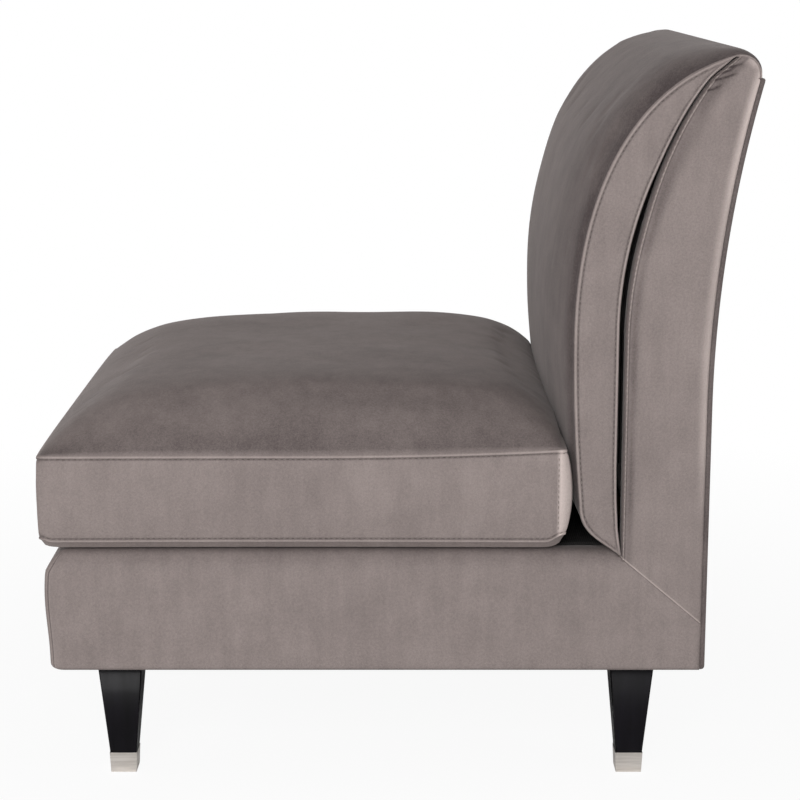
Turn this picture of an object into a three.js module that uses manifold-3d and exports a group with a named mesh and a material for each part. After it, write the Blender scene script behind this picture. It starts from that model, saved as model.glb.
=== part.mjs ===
// Slipper chair: an armless upholstered chair with a loose box cushion, an attached back pad, a curved
// back and four tapered legs with ferrules. Millimetres, +Z up, the chair faces -Y, the sitter's left is +X.
import * as THREE from "three";
import { mergeVertices } from "three/addons/utils/BufferGeometryUtils.js";
import Module from "manifold-3d";

const wasm = await Module();
wasm.setup();

// Driving dimensions of the whole chair
const WIDTH = 690; // across the velvet of base and back
const HALF = WIDTH / 2;
const OUTSIDE_BACK_Y = 361; // outer face of the outside back, at its foot
const GAP = 0.3; // between pieces that touch
const OVERRUN = 5; // how far a cutting block runs past what it cuts

// Base: an upholstered box on the legs
const BASE_FRONT_Y = -402;
const BASE_REAR_SET = 9; // its rear face before the outside back's
const BASE_REAR_Y = OUTSIDE_BACK_Y - BASE_REAR_SET;
const BASE_BOTTOM_Z = 138;
const BASE_TOP_Z = 282;
const BASE_EDGE_RADIUS = 20; // the soft roll round the deck
const BASE_LOWER_RADIUS = 7;
const BASE_CORNER_RADIUS = 18; // the two front corners, seen from above
const COVER_WALL = 2.4; // velvet with its backing
const ROLL_WIDTH = 34; // how far the cover turns in over the deck
const HEM_WIDTH = 18; // how far the cover turns in under the rails
const PADDING_WALL = 8;
const SHEET_WALL = 1.2; // insulator sheet and dust cover

// The back: a vertical line that bends rearward on an arc, as seen from the side
const bendRadius = (sweep, rise) => (sweep * sweep + rise * rise) / (2 * sweep);
const OUTSIDE_TOP_Z = 823;
const OUTSIDE_BEND_Z = 450;
const OUTSIDE_SWEEP = 48.1; // how far its top edge lies behind its foot
const OUTSIDE_BEND_RADIUS = bendRadius(OUTSIDE_SWEEP, OUTSIDE_TOP_Z - OUTSIDE_BEND_Z);
const BACK_DEPTH = 96; // at its foot
const BACK_FRONT_Y = OUTSIDE_BACK_Y - BACK_DEPTH; // front edge of the side panel's velvet
const BACK_PANEL_RISE = 23; // of that edge's top over the outside back's
const BACK_PANEL_TOP_Z = OUTSIDE_TOP_Z + BACK_PANEL_RISE;
const BACK_BEND_Z = 530;
const BACK_TOP_DEPTH = 30.1;
const BACK_SWEEP = BACK_DEPTH + OUTSIDE_SWEEP - BACK_TOP_DEPTH; // that edge's top behind its foot
const BACK_BEND_RADIUS = bendRadius(BACK_SWEEP, BACK_PANEL_TOP_Z - BACK_BEND_Z);
const OUTSIDE_BOTTOM_LIFT = 1; // over the underside of the base
const OUTSIDE_BOTTOM_Z = BASE_BOTTOM_Z + OUTSIDE_BOTTOM_LIFT;
const POST_THICKNESS = 25;
const POST_RISE = 9; // over the outside back's top edge
const POST_TOP_Z = OUTSIDE_TOP_Z + POST_RISE;
const POST_FRONT_SET = 5; // the post's front edge behind the velvet
const RETURN_WIDTH = 26; // how far a side panel turns in over the post's front edge
const BOARD_WALL = 3;
const BOARD_TOP_SET = 3; // the board's top edge under the velvet's
const BOARD_TOP_Z = OUTSIDE_TOP_Z - BOARD_TOP_SET;
const EDGE_RETURN = 4.6; // the rolled edge of the outside back
const MITRE_FRONT_Z = 275; // the slanted seam between base and back, at its front end
const MITRE_REAR_Z = 192; // and at its rear end
const BACK_RAIL_HEIGHT = 60;
const BACK_RAIL_THICKNESS = 20;
const LOWER_RAIL_Z = 300;
const TOP_RAIL_SET = 4; // the top rail under the posts' tops
const TOP_RAIL_Z = POST_TOP_Z - TOP_RAIL_SET - BACK_RAIL_HEIGHT;
const STRAP_WIDTH = 58;
const STRAP_WALL = 2;
const STRAP_HEIGHTS_share = [0.16, 0.37, 0.58, 0.79]; // along the back between its lower and top rails

// Rails of the seat frame
const RAIL_THICKNESS = 23;
const RAIL_TOP_Z = 246;
const SEAT_RAIL_SET = 20; // its rear rail, which holds the springs, before the back's front edge
const SEAT_RAIL_Y = BACK_FRONT_Y - SEAT_RAIL_SET;

// Nose of the back, where the cover turns over the top rail
const NOSE_RISE = 35; // over the outside back's top edge
const NOSE_TOP_Z = OUTSIDE_TOP_Z + NOSE_RISE;
const NOSE_SET = 11; // its front edge behind the outside back's foot
const NOSE_FRONT_Y = OUTSIDE_BACK_Y + NOSE_SET;
const NOSE_CREST_SET = 20;
const NOSE_CREST_Y = NOSE_FRONT_Y + NOSE_CREST_SET;
const NOSE_WALL = 3;

// Attached back pad
const PAD_SIDE_INSET = 1; // from the sides of the back
const PAD_HALF_WIDTH = HALF - PAD_SIDE_INSET;
const PAD_REAR_SET = 12; // its rear seam before the back's front edge
const PAD_REAR_Y = BACK_FRONT_Y - PAD_REAR_SET;
const PAD_BORDER_WIDTH = 48;
const PAD_FRONT_Y = PAD_REAR_Y - PAD_BORDER_WIDTH; // its front seam where it is nearest the sitter
const PAD_LIFT = 2; // over the deck
const PAD_BOTTOM_Z = BASE_TOP_Z + PAD_LIFT;
const PAD_BOTTOM_SET = 3;
const PAD_BOTTOM_Y = BACK_FRONT_Y - PAD_BOTTOM_SET;
const PAD_FOOT_REACH = 26; // how far the foot's curve first runs forward
const PAD_FOOT_RISE = 18; // and how far it rises there
const PAD_FOOT_DROP = 28; // the upright end of that curve
const PAD_TURN_Z = 340; // where the rounded foot of the pad becomes upright
const PAD_TURN_SET = 9;
const PAD_TURN_Y = PAD_FRONT_Y + PAD_TURN_SET;
const PAD_STRAIGHT_TOP_Z = 585;
const PAD_BEND_DEPTH = 250;
const PAD_TOP_SET = 9;
const PAD_TOP_Y = NOSE_FRONT_Y + PAD_TOP_SET; // where its front seam runs out at the top
const PAD_TOP_DROP = 1.2; // of that end under the side panel's top
const PAD_TOP_Z = BACK_PANEL_TOP_Z - PAD_TOP_DROP;
const PAD_REAR_FOOT_RISE = 7;
const PAD_REAR_FOOT_Z = PAD_BOTTOM_Z + PAD_REAR_FOOT_RISE;
const PAD_REAR_LEVEL_Z = 380;
const PAD_REAR_BEND_Z = 540;
const PAD_REAR_TOP_SET = 0.5;
const PAD_REAR_TOP_Z = BACK_PANEL_TOP_Z - PAD_REAR_TOP_SET;
const PAD_SEAMS_MEET = 8.4; // the rear seam's end before the front seam's
const PAD_REAR_SWEEP = PAD_TOP_Y - PAD_SEAMS_MEET - PAD_REAR_Y;
const PAD_REAR_RADIUS = bendRadius(PAD_REAR_SWEEP, PAD_REAR_TOP_Z - PAD_REAR_BEND_Z);
const PAD_CROWN = 28;
const PAD_CROWN_START_share = 0.1; // along the front seam, where the crown begins
const PAD_CROWN_SPAN_share = 0.85; // and how far it lasts
const PAD_COVER_WALL = 2.2;
const PAD_MOUTH_INSET = 134; // opening in the rear of the pad cover, hand-sewn shut on the chair
const PAD_MOUTH_WIDTH = 2 * (PAD_HALF_WIDTH - PAD_MOUTH_INSET);
const PAD_MOUTH_HEIGHT = 9;
const PAD_MOUTH_Z = 420;

// Loose seat cushion
const CUSHION_SIDE_INSET = 4;
const CUSHION_HALF_WIDTH = HALF - CUSHION_SIDE_INSET;
const CUSHION_OVERHANG = 3.2; // over the front of the base
const CUSHION_FRONT_Y = BASE_FRONT_Y - CUSHION_OVERHANG;
const CUSHION_REAR_ROOM = 7.5; // before the pad's front seam
const CUSHION_REAR_Y = PAD_FRONT_Y - CUSHION_REAR_ROOM;
const CUSHION_SAG = 16.7; // how far its underside swells below the lower seam
const CUSHION_LOWER_SEAM_Z = BASE_TOP_Z + CUSHION_SAG + GAP;
const CUSHION_BORDER_HEIGHT = 96;
const CUSHION_UPPER_SEAM_Z = CUSHION_LOWER_SEAM_Z + CUSHION_BORDER_HEIGHT;
const CUSHION_REAR_RISE = 8; // the upper seam climbs towards the back
const CUSHION_CROWN = 78;
const CUSHION_BULGE = 6; // of its border between the seams
const CUSHION_PULL = 4; // how far its sides draw in between the corners
const CUSHION_CORNER_share = 0.03; // how far the corners are rounded off, of the half sizes
const CUSHION_WALL = 2.2;
const WRAP_WALL = 12;
const ZIP_END_INSET = 91; // from the cushion's sides
const ZIP_LENGTH = 2 * (CUSHION_HALF_WIDTH - ZIP_END_INSET);
const ZIP_SLOT_HEIGHT = 10;
const ZIP_Z = (CUSHION_LOWER_SEAM_Z + CUSHION_UPPER_SEAM_Z) / 2;
const ZIP_TAPE_HEIGHT = 26;
const ZIP_TAPE_WALL = 0.8;
const ZIP_CHAIN_HEIGHT = 5;
const ZIP_CHAIN_DEPTH = 2;
const SLIDER_LENGTH = 11;
const SLIDER_WALL = 1;
const SLIDER_INSET = 14; // the slider's middle from the zip's end, when the zip is closed
const SLIDER_START_X = SLIDER_INSET - ZIP_LENGTH / 2;

// Legs and their fixings
const LEG_SIDE_INSET = 49; // a leg's middle from the chair's side
const LEG_X = HALF - LEG_SIDE_INSET;
const FRONT_LEG_INSET = 80;
const FRONT_LEG_Y = BASE_FRONT_Y + FRONT_LEG_INSET;
const REAR_LEG_SET = 16; // behind the back's front edge
const REAR_LEG_Y = BACK_FRONT_Y + REAR_LEG_SET;
const LEG_TOP_SIZE = 52.5;
const LEG_FOOT_SIZE = 31.6;
const LEG_CHAMFER = 1.6;
const LEG_TOP_Z = BASE_BOTTOM_Z + COVER_WALL - SHEET_WALL - GAP; // against the dust cover
const FERRULE_HEIGHT = 25;
const FERRULE_TOP_SIZE = 32.8;
const FERRULE_FOOT_SIZE = 30.4;
const FERRULE_WALL = 1;
const FERRULE_ROUNDING = 1.8;
const FERRULE_ROUNDING_share = 0.4; // of its height, where the rounding's middle ring lies
const BOLT_RADIUS = 4;
const BOLT_DEPTH = 32; // in the leg
const BOLT_REACH = 44; // above the leg
const BOLT_TIP = 6;
const NUT_FLANGE_RADIUS = 10.5;
const NUT_FLANGE_WALL = 1.5;
const NUT_BARREL_RADIUS = 5.2;
const NUT_BARREL_LENGTH = 14;
const BLOCK_HEIGHT = 34;
const FRONT_BLOCK_LEG = 112; // short sides of the triangular corner blocks
const REAR_BLOCK_ROOM = 3.7; // before the rear base rail

// Seat springs and the layers over them
const SPRING_COUNT = 4;
const SPRING_PITCH = WIDTH / (SPRING_COUNT + 1);
const SPRING_HALF_WIDTH = 23;
const SPRING_WIRE_RADIUS = 1.9;
const SPRING_LOOPS = 22;
const SPRING_CROWN = 14;
const SPRING_END_INSET = 11; // from a rail's inner edge back to the spring's end
const END_ROOM = 4; // rail left bare outside the spring ends, under the padding
const CLIP_WIDTH = 20;
const CLIP_DEPTH = 15;
const CLIP_WALL = 2.2;
const TIE_ROD_RADIUS = 1.5;

// Finishes
const FINISH = {
  velvet: { color: 0x8c827e, roughness: 0.95, metalness: 0 },
  lining: { color: 0x2f2d2c, roughness: 0.95, metalness: 0 },
  foam: { color: 0xe5dcc2, roughness: 0.9, metalness: 0 },
  fibre: { color: 0xf2f1ec, roughness: 0.95, metalness: 0 },
  webbing: { color: 0x9a8a63, roughness: 0.9, metalness: 0 },
  timber: { color: 0xb48a5a, roughness: 0.7, metalness: 0 },
  lacquer: { color: 0x14141b, roughness: 0.35, metalness: 0 },
  nickel: { color: 0xb9b2a9, roughness: 0.35, metalness: 0.9 },
  steel: { color: 0x8b8f94, roughness: 0.4, metalness: 0.9 },
};

const chair = new THREE.Group();

// Adds one named piece with its finish
function place(name, solid, finish) {
  const mesh = new THREE.Mesh(geometryOf(solid), new THREE.MeshStandardMaterial(FINISH[finish]));
  mesh.name = name;
  chair.add(mesh);
  return mesh;
}

// A closed solid from any closed geometry; collapsed triangles are dropped first
function solidOf(geometry) {
  const bare = geometry.index ? geometry.toNonIndexed() : geometry.clone();
  bare.deleteAttribute("normal");
  bare.deleteAttribute("uv");
  const merged = mergeVertices(bare, 1e-3);
  const index = merged.index.array;
  const kept = [];
  for (let i = 0; i < index.length; i += 3) {
    const [a, b, c] = [index[i], index[i + 1], index[i + 2]];
    if (a !== b && b !== c && c !== a) kept.push(a, b, c);
  }
  const made = new wasm.Manifold(
    new wasm.Mesh({
      numProp: 3,
      vertProperties: merged.attributes.position.array,
      triVerts: new Uint32Array(kept),
    }),
  );
  if (made.volume() > 0) return made;
  for (let i = 0; i < kept.length; i += 3) {
    [kept[i], kept[i + 1]] = [kept[i + 1], kept[i]];
  }
  return new wasm.Manifold(
    new wasm.Mesh({
      numProp: 3,
      vertProperties: merged.attributes.position.array,
      triVerts: new Uint32Array(kept),
    }),
  );
}

// A geometry from a solid
function geometryOf(solid) {
  const mesh = solid.getMesh();
  const positions = new Float32Array(mesh.numVert * 3);
  for (let i = 0; i < mesh.numVert; i += 1) {
    for (let k = 0; k < 3; k += 1) positions[3 * i + k] = mesh.vertProperties[mesh.numProp * i + k];
  }
  const geometry = new THREE.BufferGeometry();
  geometry.setAttribute("position", new THREE.BufferAttribute(positions, 3));
  geometry.setIndex(new THREE.BufferAttribute(new Uint32Array(mesh.triVerts), 1));
  geometry.computeVertexNormals();
  return geometry;
}

// A block between two corners
function block(x0, x1, y0, y1, z0, z1) {
  const box = new THREE.BoxGeometry(x1 - x0, y1 - y0, z1 - z0);
  box.translate((x0 + x1) / 2, (y0 + y1) / 2, (z0 + z1) / 2);
  return solidOf(box);
}

// A solid skinned over rings of points: every ring has as many points, and both ends are closed by a fan
function skin(rings) {
  const count = rings[0].length;
  const points = rings.flat();
  const centre = (ring) =>
    ring.reduce((sum, p) => sum.add(p), new THREE.Vector3()).divideScalar(ring.length);
  points.push(centre(rings[0]), centre(rings[rings.length - 1]));
  const first = points.length - 2;
  const last = points.length - 1;
  const index = [];
  for (let r = 0; r < rings.length - 1; r += 1) {
    for (let i = 0; i < count; i += 1) {
      const a = r * count + i;
      const b = r * count + ((i + 1) % count);
      index.push(a, b, b + count, a, b + count, a + count);
    }
  }
  const top = (rings.length - 1) * count;
  for (let i = 0; i < count; i += 1) {
    const next = (i + 1) % count;
    index.push(first, next, i, last, top + i, top + next);
  }
  const geometry = new THREE.BufferGeometry();
  geometry.setAttribute(
    "position",
    new THREE.BufferAttribute(new Float32Array(points.flatMap((p) => [p.x, p.y, p.z])), 3),
  );
  geometry.setIndex(index);
  return solidOf(geometry);
}

// A side profile of [y, z] points drawn out along X from x0 to x1
function slab(profile, x0, x1) {
  const shape = new THREE.Shape(profile.map(([y, z]) => new THREE.Vector2(y, z)));
  const geometry = new THREE.ExtrudeGeometry(shape, { depth: x1 - x0, bevelEnabled: false });
  // the shape's own axes become Y and Z, and the depth runs along X
  geometry.applyMatrix4(new THREE.Matrix4().makeBasis(
    new THREE.Vector3(0, 1, 0),
    new THREE.Vector3(0, 0, 1),
    new THREE.Vector3(1, 0, 0),
  ));
  geometry.translate(x0, 0, 0);
  return solidOf(geometry);
}

// A turned piece about a vertical axis through (x, y)
function turned(profile, x, y, sides) {
  const geometry = new THREE.LatheGeometry(profile.map(([r, z]) => new THREE.Vector2(r, z)), sides);
  geometry.rotateX(Math.PI / 2);
  geometry.translate(x, y, 0);
  return solidOf(geometry);
}

// Both sides of a symmetrical pair, the sitter's left (+X) first
const SIDES = [
  ["left", 1],
  ["right", -1],
];

// A slab on one side: it lies between two distances from the middle plane
function sideSlab(profile, inner, outer, sign) {
  return sign > 0 ? slab(profile, inner, outer) : slab(profile, -outer, -inner);
}

// A line that rises vertically and bends rearward on an arc, moved rearward by a set distance,
// as points between two heights
function bentLine(y, bendZ, radius, set, z0, z1, steps) {
  const centreY = y + radius;
  const r = radius - set;
  const points = [];
  const at = (z) => [z <= bendZ ? y + set : centreY - Math.sqrt(r * r - (z - bendZ) ** 2), z];
  if (z1 <= bendZ) return [at(z0), at(z1)];
  if (z0 < bendZ) points.push(at(z0));
  const from = Math.max(z0, bendZ);
  for (let i = 0; i <= steps; i += 1) points.push(at(from + ((z1 - from) * i) / steps));
  return points;
}

// The front edge of the back and its outside, each moved rearward by a set distance
const frontLine = (set, z0, z1, steps = 12) =>
  bentLine(BACK_FRONT_Y, BACK_BEND_Z, BACK_BEND_RADIUS, set, z0, z1, steps);

// A closed profile between a front line going up and a rear line coming down
const between = (front, rear) => [...front, ...[...rear].reverse()];

// The layers of the back, counted forward from its outer face
const BOARD_SET = COVER_WALL + GAP;
const POST_REAR_SET = BOARD_SET + BOARD_WALL + GAP;
const outsideLine = (depth, z0, z1, steps = 6) =>
  bentLine(OUTSIDE_BACK_Y - depth, OUTSIDE_BEND_Z, OUTSIDE_BEND_RADIUS + depth, 0, z0, z1, steps);

// Places of the rails inside cover and padding
const PADDING_SET = COVER_WALL + GAP;
const RAIL_SET = PADDING_SET + PADDING_WALL + GAP;
const RAIL_OUTER_X = HALF - RAIL_SET;
const RAIL_INNER_X = RAIL_OUTER_X - RAIL_THICKNESS;
const RAIL_FRONT_Y = BASE_FRONT_Y + RAIL_SET;
const RAIL_BOTTOM_Z = BASE_BOTTOM_Z + COVER_WALL + GAP;
const DECK_INNER_X = HALF - ROLL_WIDTH - GAP;
const DECK_FRONT_Y = BASE_FRONT_Y + ROLL_WIDTH + GAP;
const POST_FRONT_Y = BACK_FRONT_Y + POST_FRONT_SET;
const POST_OUTER_X = HALF - COVER_WALL - GAP;
const POST_INNER_X = POST_OUTER_X - POST_THICKNESS;
const POST_REAR_Y = OUTSIDE_BACK_Y - POST_REAR_SET;

// Base block: a rounded box, drawn in by an inset all round, open towards the rear
function baseBlock(inset) {
  const radius = Math.max(BASE_CORNER_RADIUS - inset, GAP);
  const upper = Math.max(BASE_EDGE_RADIUS - inset, GAP);
  const lower = Math.max(BASE_LOWER_RADIUS - inset, GAP);
  const rear = BASE_REAR_Y + OVERRUN;
  const ring = (shrink, z) => {
    const x = HALF - inset - shrink;
    const y = BASE_FRONT_Y + inset + shrink;
    const r = Math.max(radius - shrink, GAP / 2);
    const points = [new THREE.Vector3(x, rear, z), new THREE.Vector3(-x, rear, z)];
    for (const [sign, start] of [[-1, Math.PI], [1, 1.5 * Math.PI]]) {
      for (let i = 0; i <= 4; i += 1) {
        const angle = start + (i * Math.PI) / 8;
        points.push(
          new THREE.Vector3(sign * (x - r) + r * Math.cos(angle), y + r + r * Math.sin(angle), z),
        );
      }
    }
    return points;
  };
  const rings = [];
  for (let i = 0; i <= 3; i += 1) {
    const a = (i * Math.PI) / 6;
    rings.push(ring(lower * (1 - Math.sin(a)), BASE_BOTTOM_Z + inset + lower * (1 - Math.cos(a))));
  }
  for (let i = 0; i <= 5; i += 1) {
    const a = (i * Math.PI) / 10;
    rings.push(ring(upper * (1 - Math.cos(a)), BASE_TOP_Z - inset - upper * (1 - Math.sin(a))));
  }
  return skin(rings);
}

// The slanted seam where the back's side panel meets the base's side cover
function mitreZ(y) {
  const fall = (MITRE_REAR_Z - MITRE_FRONT_Z) / (BASE_REAR_Y + COVER_WALL - BACK_FRONT_Y);
  return MITRE_FRONT_Z + fall * (y - BACK_FRONT_Y);
}

// The region behind and above that seam, which the base's covers leave free
function behindMitre() {
  const rear = BASE_REAR_Y + 2 * OVERRUN;
  const top = BASE_TOP_Z + OVERRUN;
  return slab([[BACK_FRONT_Y, mitreZ(BACK_FRONT_Y)], [rear, mitreZ(rear)], [rear, top],
    [BACK_FRONT_Y, top]], -HALF - OVERRUN, HALF + OVERRUN);
}

// The region below and before it, which the back's side panels leave free
function beforeMitre() {
  const front = BACK_FRONT_Y - OVERRUN;
  const rear = BASE_REAR_Y + 3 * OVERRUN;
  const low = BASE_BOTTOM_Z - OVERRUN;
  return slab([[front, low], [rear, low], [rear, mitreZ(rear) + 2 * GAP], [front, mitreZ(front) + 2 * GAP]],
    -HALF - OVERRUN, HALF + OVERRUN);
}

function buildBaseCovers() {
  const rollInner = HALF - ROLL_WIDTH;
  const hemInner = HALF - HEM_WIDTH;
  const trimmed = baseBlock(0)
    .subtract(baseBlock(COVER_WALL))
    .subtract(block(-rollInner, rollInner, BASE_FRONT_Y + ROLL_WIDTH, BASE_REAR_Y + 2 * OVERRUN,
      BASE_TOP_Z - BASE_EDGE_RADIUS, BASE_TOP_Z + OVERRUN))
    .subtract(block(-hemInner, hemInner, BASE_FRONT_Y + HEM_WIDTH, BASE_REAR_Y + 2 * OVERRUN,
      BASE_BOTTOM_Z - OVERRUN, BASE_BOTTOM_Z + BASE_EDGE_RADIUS))
    .subtract(block(-HALF - OVERRUN, HALF + OVERRUN, BASE_REAR_Y, BASE_REAR_Y + 2 * OVERRUN,
      BASE_BOTTOM_Z - OVERRUN, BASE_TOP_Z + OVERRUN))
    .subtract(behindMitre());
  const cornerY = BASE_FRONT_Y + ROLL_WIDTH;
  const span = [BASE_BOTTOM_Z - OVERRUN, BASE_TOP_Z + OVERRUN];
  const frontZone = block(-HALF - OVERRUN, HALF + OVERRUN, BASE_FRONT_Y - OVERRUN, cornerY, ...span);
  place("base_cover_front", trimmed.intersect(frontZone), "velvet");
  for (const [side, sign] of SIDES) {
    const near = sign > 0 ? [GAP, HALF + OVERRUN] : [-HALF - OVERRUN, -GAP];
    const zone = block(...near, cornerY + GAP, BASE_REAR_Y + OVERRUN, ...span);
    const postX = sign > 0 ? [0, POST_OUTER_X + GAP] : [-POST_OUTER_X - GAP, 0];
    const postRoom = block(...postX, POST_FRONT_Y - GAP, BASE_REAR_Y + 2 * OVERRUN,
      BASE_TOP_Z - BASE_EDGE_RADIUS, BASE_TOP_Z + OVERRUN);
    place("base_cover_" + side, trimmed.intersect(zone).subtract(postRoom), "velvet");
  }
}

function buildBasePadding() {
  const roomX = RAIL_OUTER_X - END_ROOM;
  const room = block(-roomX, roomX, RAIL_FRONT_Y + END_ROOM, BASE_REAR_Y + 2 * OVERRUN,
    RAIL_TOP_Z - OVERRUN, SPRING_BASE_Z + SPRING_WIRE_RADIUS + 2 * GAP);
  const padding = baseBlock(PADDING_SET)
    .subtract(room)
    .subtract(block(-RAIL_OUTER_X - GAP, RAIL_OUTER_X + GAP, RAIL_FRONT_Y - GAP, BASE_REAR_Y + 2 * OVERRUN,
      BASE_BOTTOM_Z - OVERRUN, RAIL_TOP_Z + GAP))
    .subtract(block(-DECK_INNER_X - GAP, DECK_INNER_X + GAP, DECK_FRONT_Y - GAP, BASE_REAR_Y + 2 * OVERRUN,
      RAIL_TOP_Z - OVERRUN, BASE_TOP_Z + OVERRUN))
    .subtract(block(-HALF, HALF, POST_FRONT_Y - POST_FRONT_SET - GAP, BASE_REAR_Y + 2 * OVERRUN,
      BASE_BOTTOM_Z - OVERRUN, BASE_TOP_Z + OVERRUN));
  place("base_padding", padding, "foam");
}

function buildSeatFrame() {
  const z = [RAIL_BOTTOM_Z, RAIL_TOP_Z];
  const sideFront = RAIL_FRONT_Y + RAIL_THICKNESS + GAP;
  place("front_rail", block(-RAIL_OUTER_X, RAIL_OUTER_X, RAIL_FRONT_Y, RAIL_FRONT_Y + RAIL_THICKNESS, ...z),
    "timber");
  for (const [side, sign] of SIDES) {
    const x = sign > 0 ? [RAIL_INNER_X, RAIL_OUTER_X] : [-RAIL_OUTER_X, -RAIL_INNER_X];
    place("side_rail_" + side, block(...x, sideFront, POST_FRONT_Y - GAP, ...z), "timber");
  }
  const seatRailX = RAIL_INNER_X - GAP;
  place("rear_seat_rail", block(-seatRailX, seatRailX, SEAT_RAIL_Y, SEAT_RAIL_Y + RAIL_THICKNESS, ...z),
    "timber");
  const rearX = POST_INNER_X - GAP;
  place("rear_base_rail", block(-rearX, rearX, POST_REAR_Y - RAIL_THICKNESS, POST_REAR_Y, ...z), "timber");
}

// Corner blocks: triangular, glued into the corners over the legs, bored for the tee nuts
function buildCornerBlocks() {
  const z0 = RAIL_BOTTOM_Z;
  const rearY = SEAT_RAIL_Y + RAIL_THICKNESS + GAP;
  const rearLeg = POST_REAR_Y - RAIL_THICKNESS - REAR_BLOCK_ROOM - rearY;
  const corners = [
    ["front", RAIL_INNER_X - GAP, RAIL_FRONT_Y + RAIL_THICKNESS + GAP, FRONT_BLOCK_LEG, FRONT_LEG_Y],
    ["rear", RAIL_INNER_X - GAP, rearY, rearLeg, REAR_LEG_Y],
  ];
  for (const [end, x, y, leg, legY] of corners) {
    for (const [side, sign] of SIDES) {
      const shape = new THREE.Shape([
        new THREE.Vector2(sign * x, y),
        new THREE.Vector2(sign * (x - leg), y),
        new THREE.Vector2(sign * x, y + leg),
      ]);
      const prism = new THREE.ExtrudeGeometry(shape, { depth: BLOCK_HEIGHT, bevelEnabled: false });
      prism.translate(0, 0, z0);
      const bore = NUT_BARREL_RADIUS + GAP;
      const drill = turned(
        [[0, z0 - OVERRUN], [bore, z0 - OVERRUN], [bore, z0 + BLOCK_HEIGHT + OVERRUN],
          [0, z0 + BLOCK_HEIGHT + OVERRUN]], sign * LEG_X, legY, 12);
      place("corner_block_" + end + "_" + side, solidOf(prism).subtract(drill), "timber");
    }
  }
}

// A square ring with chamfered corners, centred on (x, y)
function squareRing(size, chamfer, x, y, z) {
  const h = size / 2;
  const c = h - chamfer;
  return [[h, -c], [h, c], [c, h], [-c, h], [-h, c], [-h, -c], [-c, -h], [c, -h]]
    .map(([dx, dy]) => new THREE.Vector3(x + dx, y + dy, z));
}

function buildLeg(name, x, y) {
  const tipSize = (z) => {
    const share = z / FERRULE_HEIGHT;
    return FERRULE_FOOT_SIZE + (FERRULE_TOP_SIZE - FERRULE_FOOT_SIZE) * share - 2 * (FERRULE_WALL + GAP);
  };
  const tipZ = FERRULE_WALL + GAP + FERRULE_ROUNDING;
  const shoulder = FERRULE_HEIGHT + GAP;
  const body = skin([
    squareRing(tipSize(tipZ), LEG_CHAMFER, x, y, tipZ),
    squareRing(tipSize(FERRULE_HEIGHT), LEG_CHAMFER, x, y, shoulder),
    squareRing(LEG_FOOT_SIZE, LEG_CHAMFER, x, y, shoulder + GAP),
    squareRing(LEG_TOP_SIZE, LEG_CHAMFER, x, y, LEG_TOP_Z),
  ]);
  const bore = BOLT_RADIUS + GAP;
  const floor = LEG_TOP_Z - BOLT_DEPTH - GAP;
  const drill = turned(
    [[0, floor], [bore, floor], [bore, LEG_TOP_Z + OVERRUN], [0, LEG_TOP_Z + OVERRUN]], x, y, 12);
  place("leg_" + name, body.subtract(drill), "lacquer");
}

function buildFerrule(name, x, y) {
  const size = (z) => FERRULE_FOOT_SIZE + ((FERRULE_TOP_SIZE - FERRULE_FOOT_SIZE) * z) / FERRULE_HEIGHT;
  const slack_share = 1 - FERRULE_ROUNDING_share;
  const outer = skin([
    squareRing(size(0) - 2 * FERRULE_ROUNDING, LEG_CHAMFER, x, y, 0),
    squareRing(size(0) - 2 * FERRULE_ROUNDING * slack_share ** 2, LEG_CHAMFER + GAP, x, y,
      FERRULE_ROUNDING_share * FERRULE_ROUNDING),
    squareRing(size(FERRULE_ROUNDING), LEG_CHAMFER + GAP, x, y, FERRULE_ROUNDING),
    squareRing(size(FERRULE_HEIGHT), LEG_CHAMFER + GAP, x, y, FERRULE_HEIGHT),
  ]);
  const floor = FERRULE_WALL + FERRULE_ROUNDING;
  const top = FERRULE_HEIGHT + OVERRUN;
  const inner = skin([
    squareRing(size(floor) - 2 * FERRULE_WALL, LEG_CHAMFER, x, y, floor),
    squareRing(size(top) - 2 * FERRULE_WALL, LEG_CHAMFER, x, y, top),
  ]);
  place("ferrule_" + name, outer.subtract(inner), "nickel");
}

// Hanger bolt and tee nut: they screw the leg to its corner block
function buildLegFixings(name, x, y) {
  const low = LEG_TOP_Z - BOLT_DEPTH;
  const high = LEG_TOP_Z + BOLT_REACH;
  const bolt = turned(
    [[0, low], [BOLT_RADIUS / 2, low + BOLT_TIP / 2], [BOLT_RADIUS, low + BOLT_TIP],
      [BOLT_RADIUS, high - BOLT_TIP / 6], [BOLT_RADIUS - BOLT_TIP / 6, high], [0, high]], x, y, 12);
  place("hanger_bolt_" + name, bolt, "steel");
  const top = RAIL_BOTTOM_Z + BLOCK_HEIGHT;
  const bore = BOLT_RADIUS + GAP;
  const nut = turned(
    [[bore, top - NUT_BARREL_LENGTH], [NUT_BARREL_RADIUS, top - NUT_BARREL_LENGTH],
      [NUT_BARREL_RADIUS, top + GAP], [NUT_FLANGE_RADIUS, top + GAP],
      [NUT_FLANGE_RADIUS, top + GAP + NUT_FLANGE_WALL], [bore, top + GAP + NUT_FLANGE_WALL],
      [bore, top - NUT_BARREL_LENGTH]], x, y, 12);
  place("tee_nut_" + name, nut, "steel");
}

function buildLegs() {
  for (const [end, y] of [["front", FRONT_LEG_Y], ["rear", REAR_LEG_Y]]) {
    for (const [side, sign] of SIDES) {
      const name = end + "_" + side;
      buildLeg(name, sign * LEG_X, y);
      buildFerrule(name, sign * LEG_X, y);
      buildLegFixings(name, sign * LEG_X, y);
    }
  }
}

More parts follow.
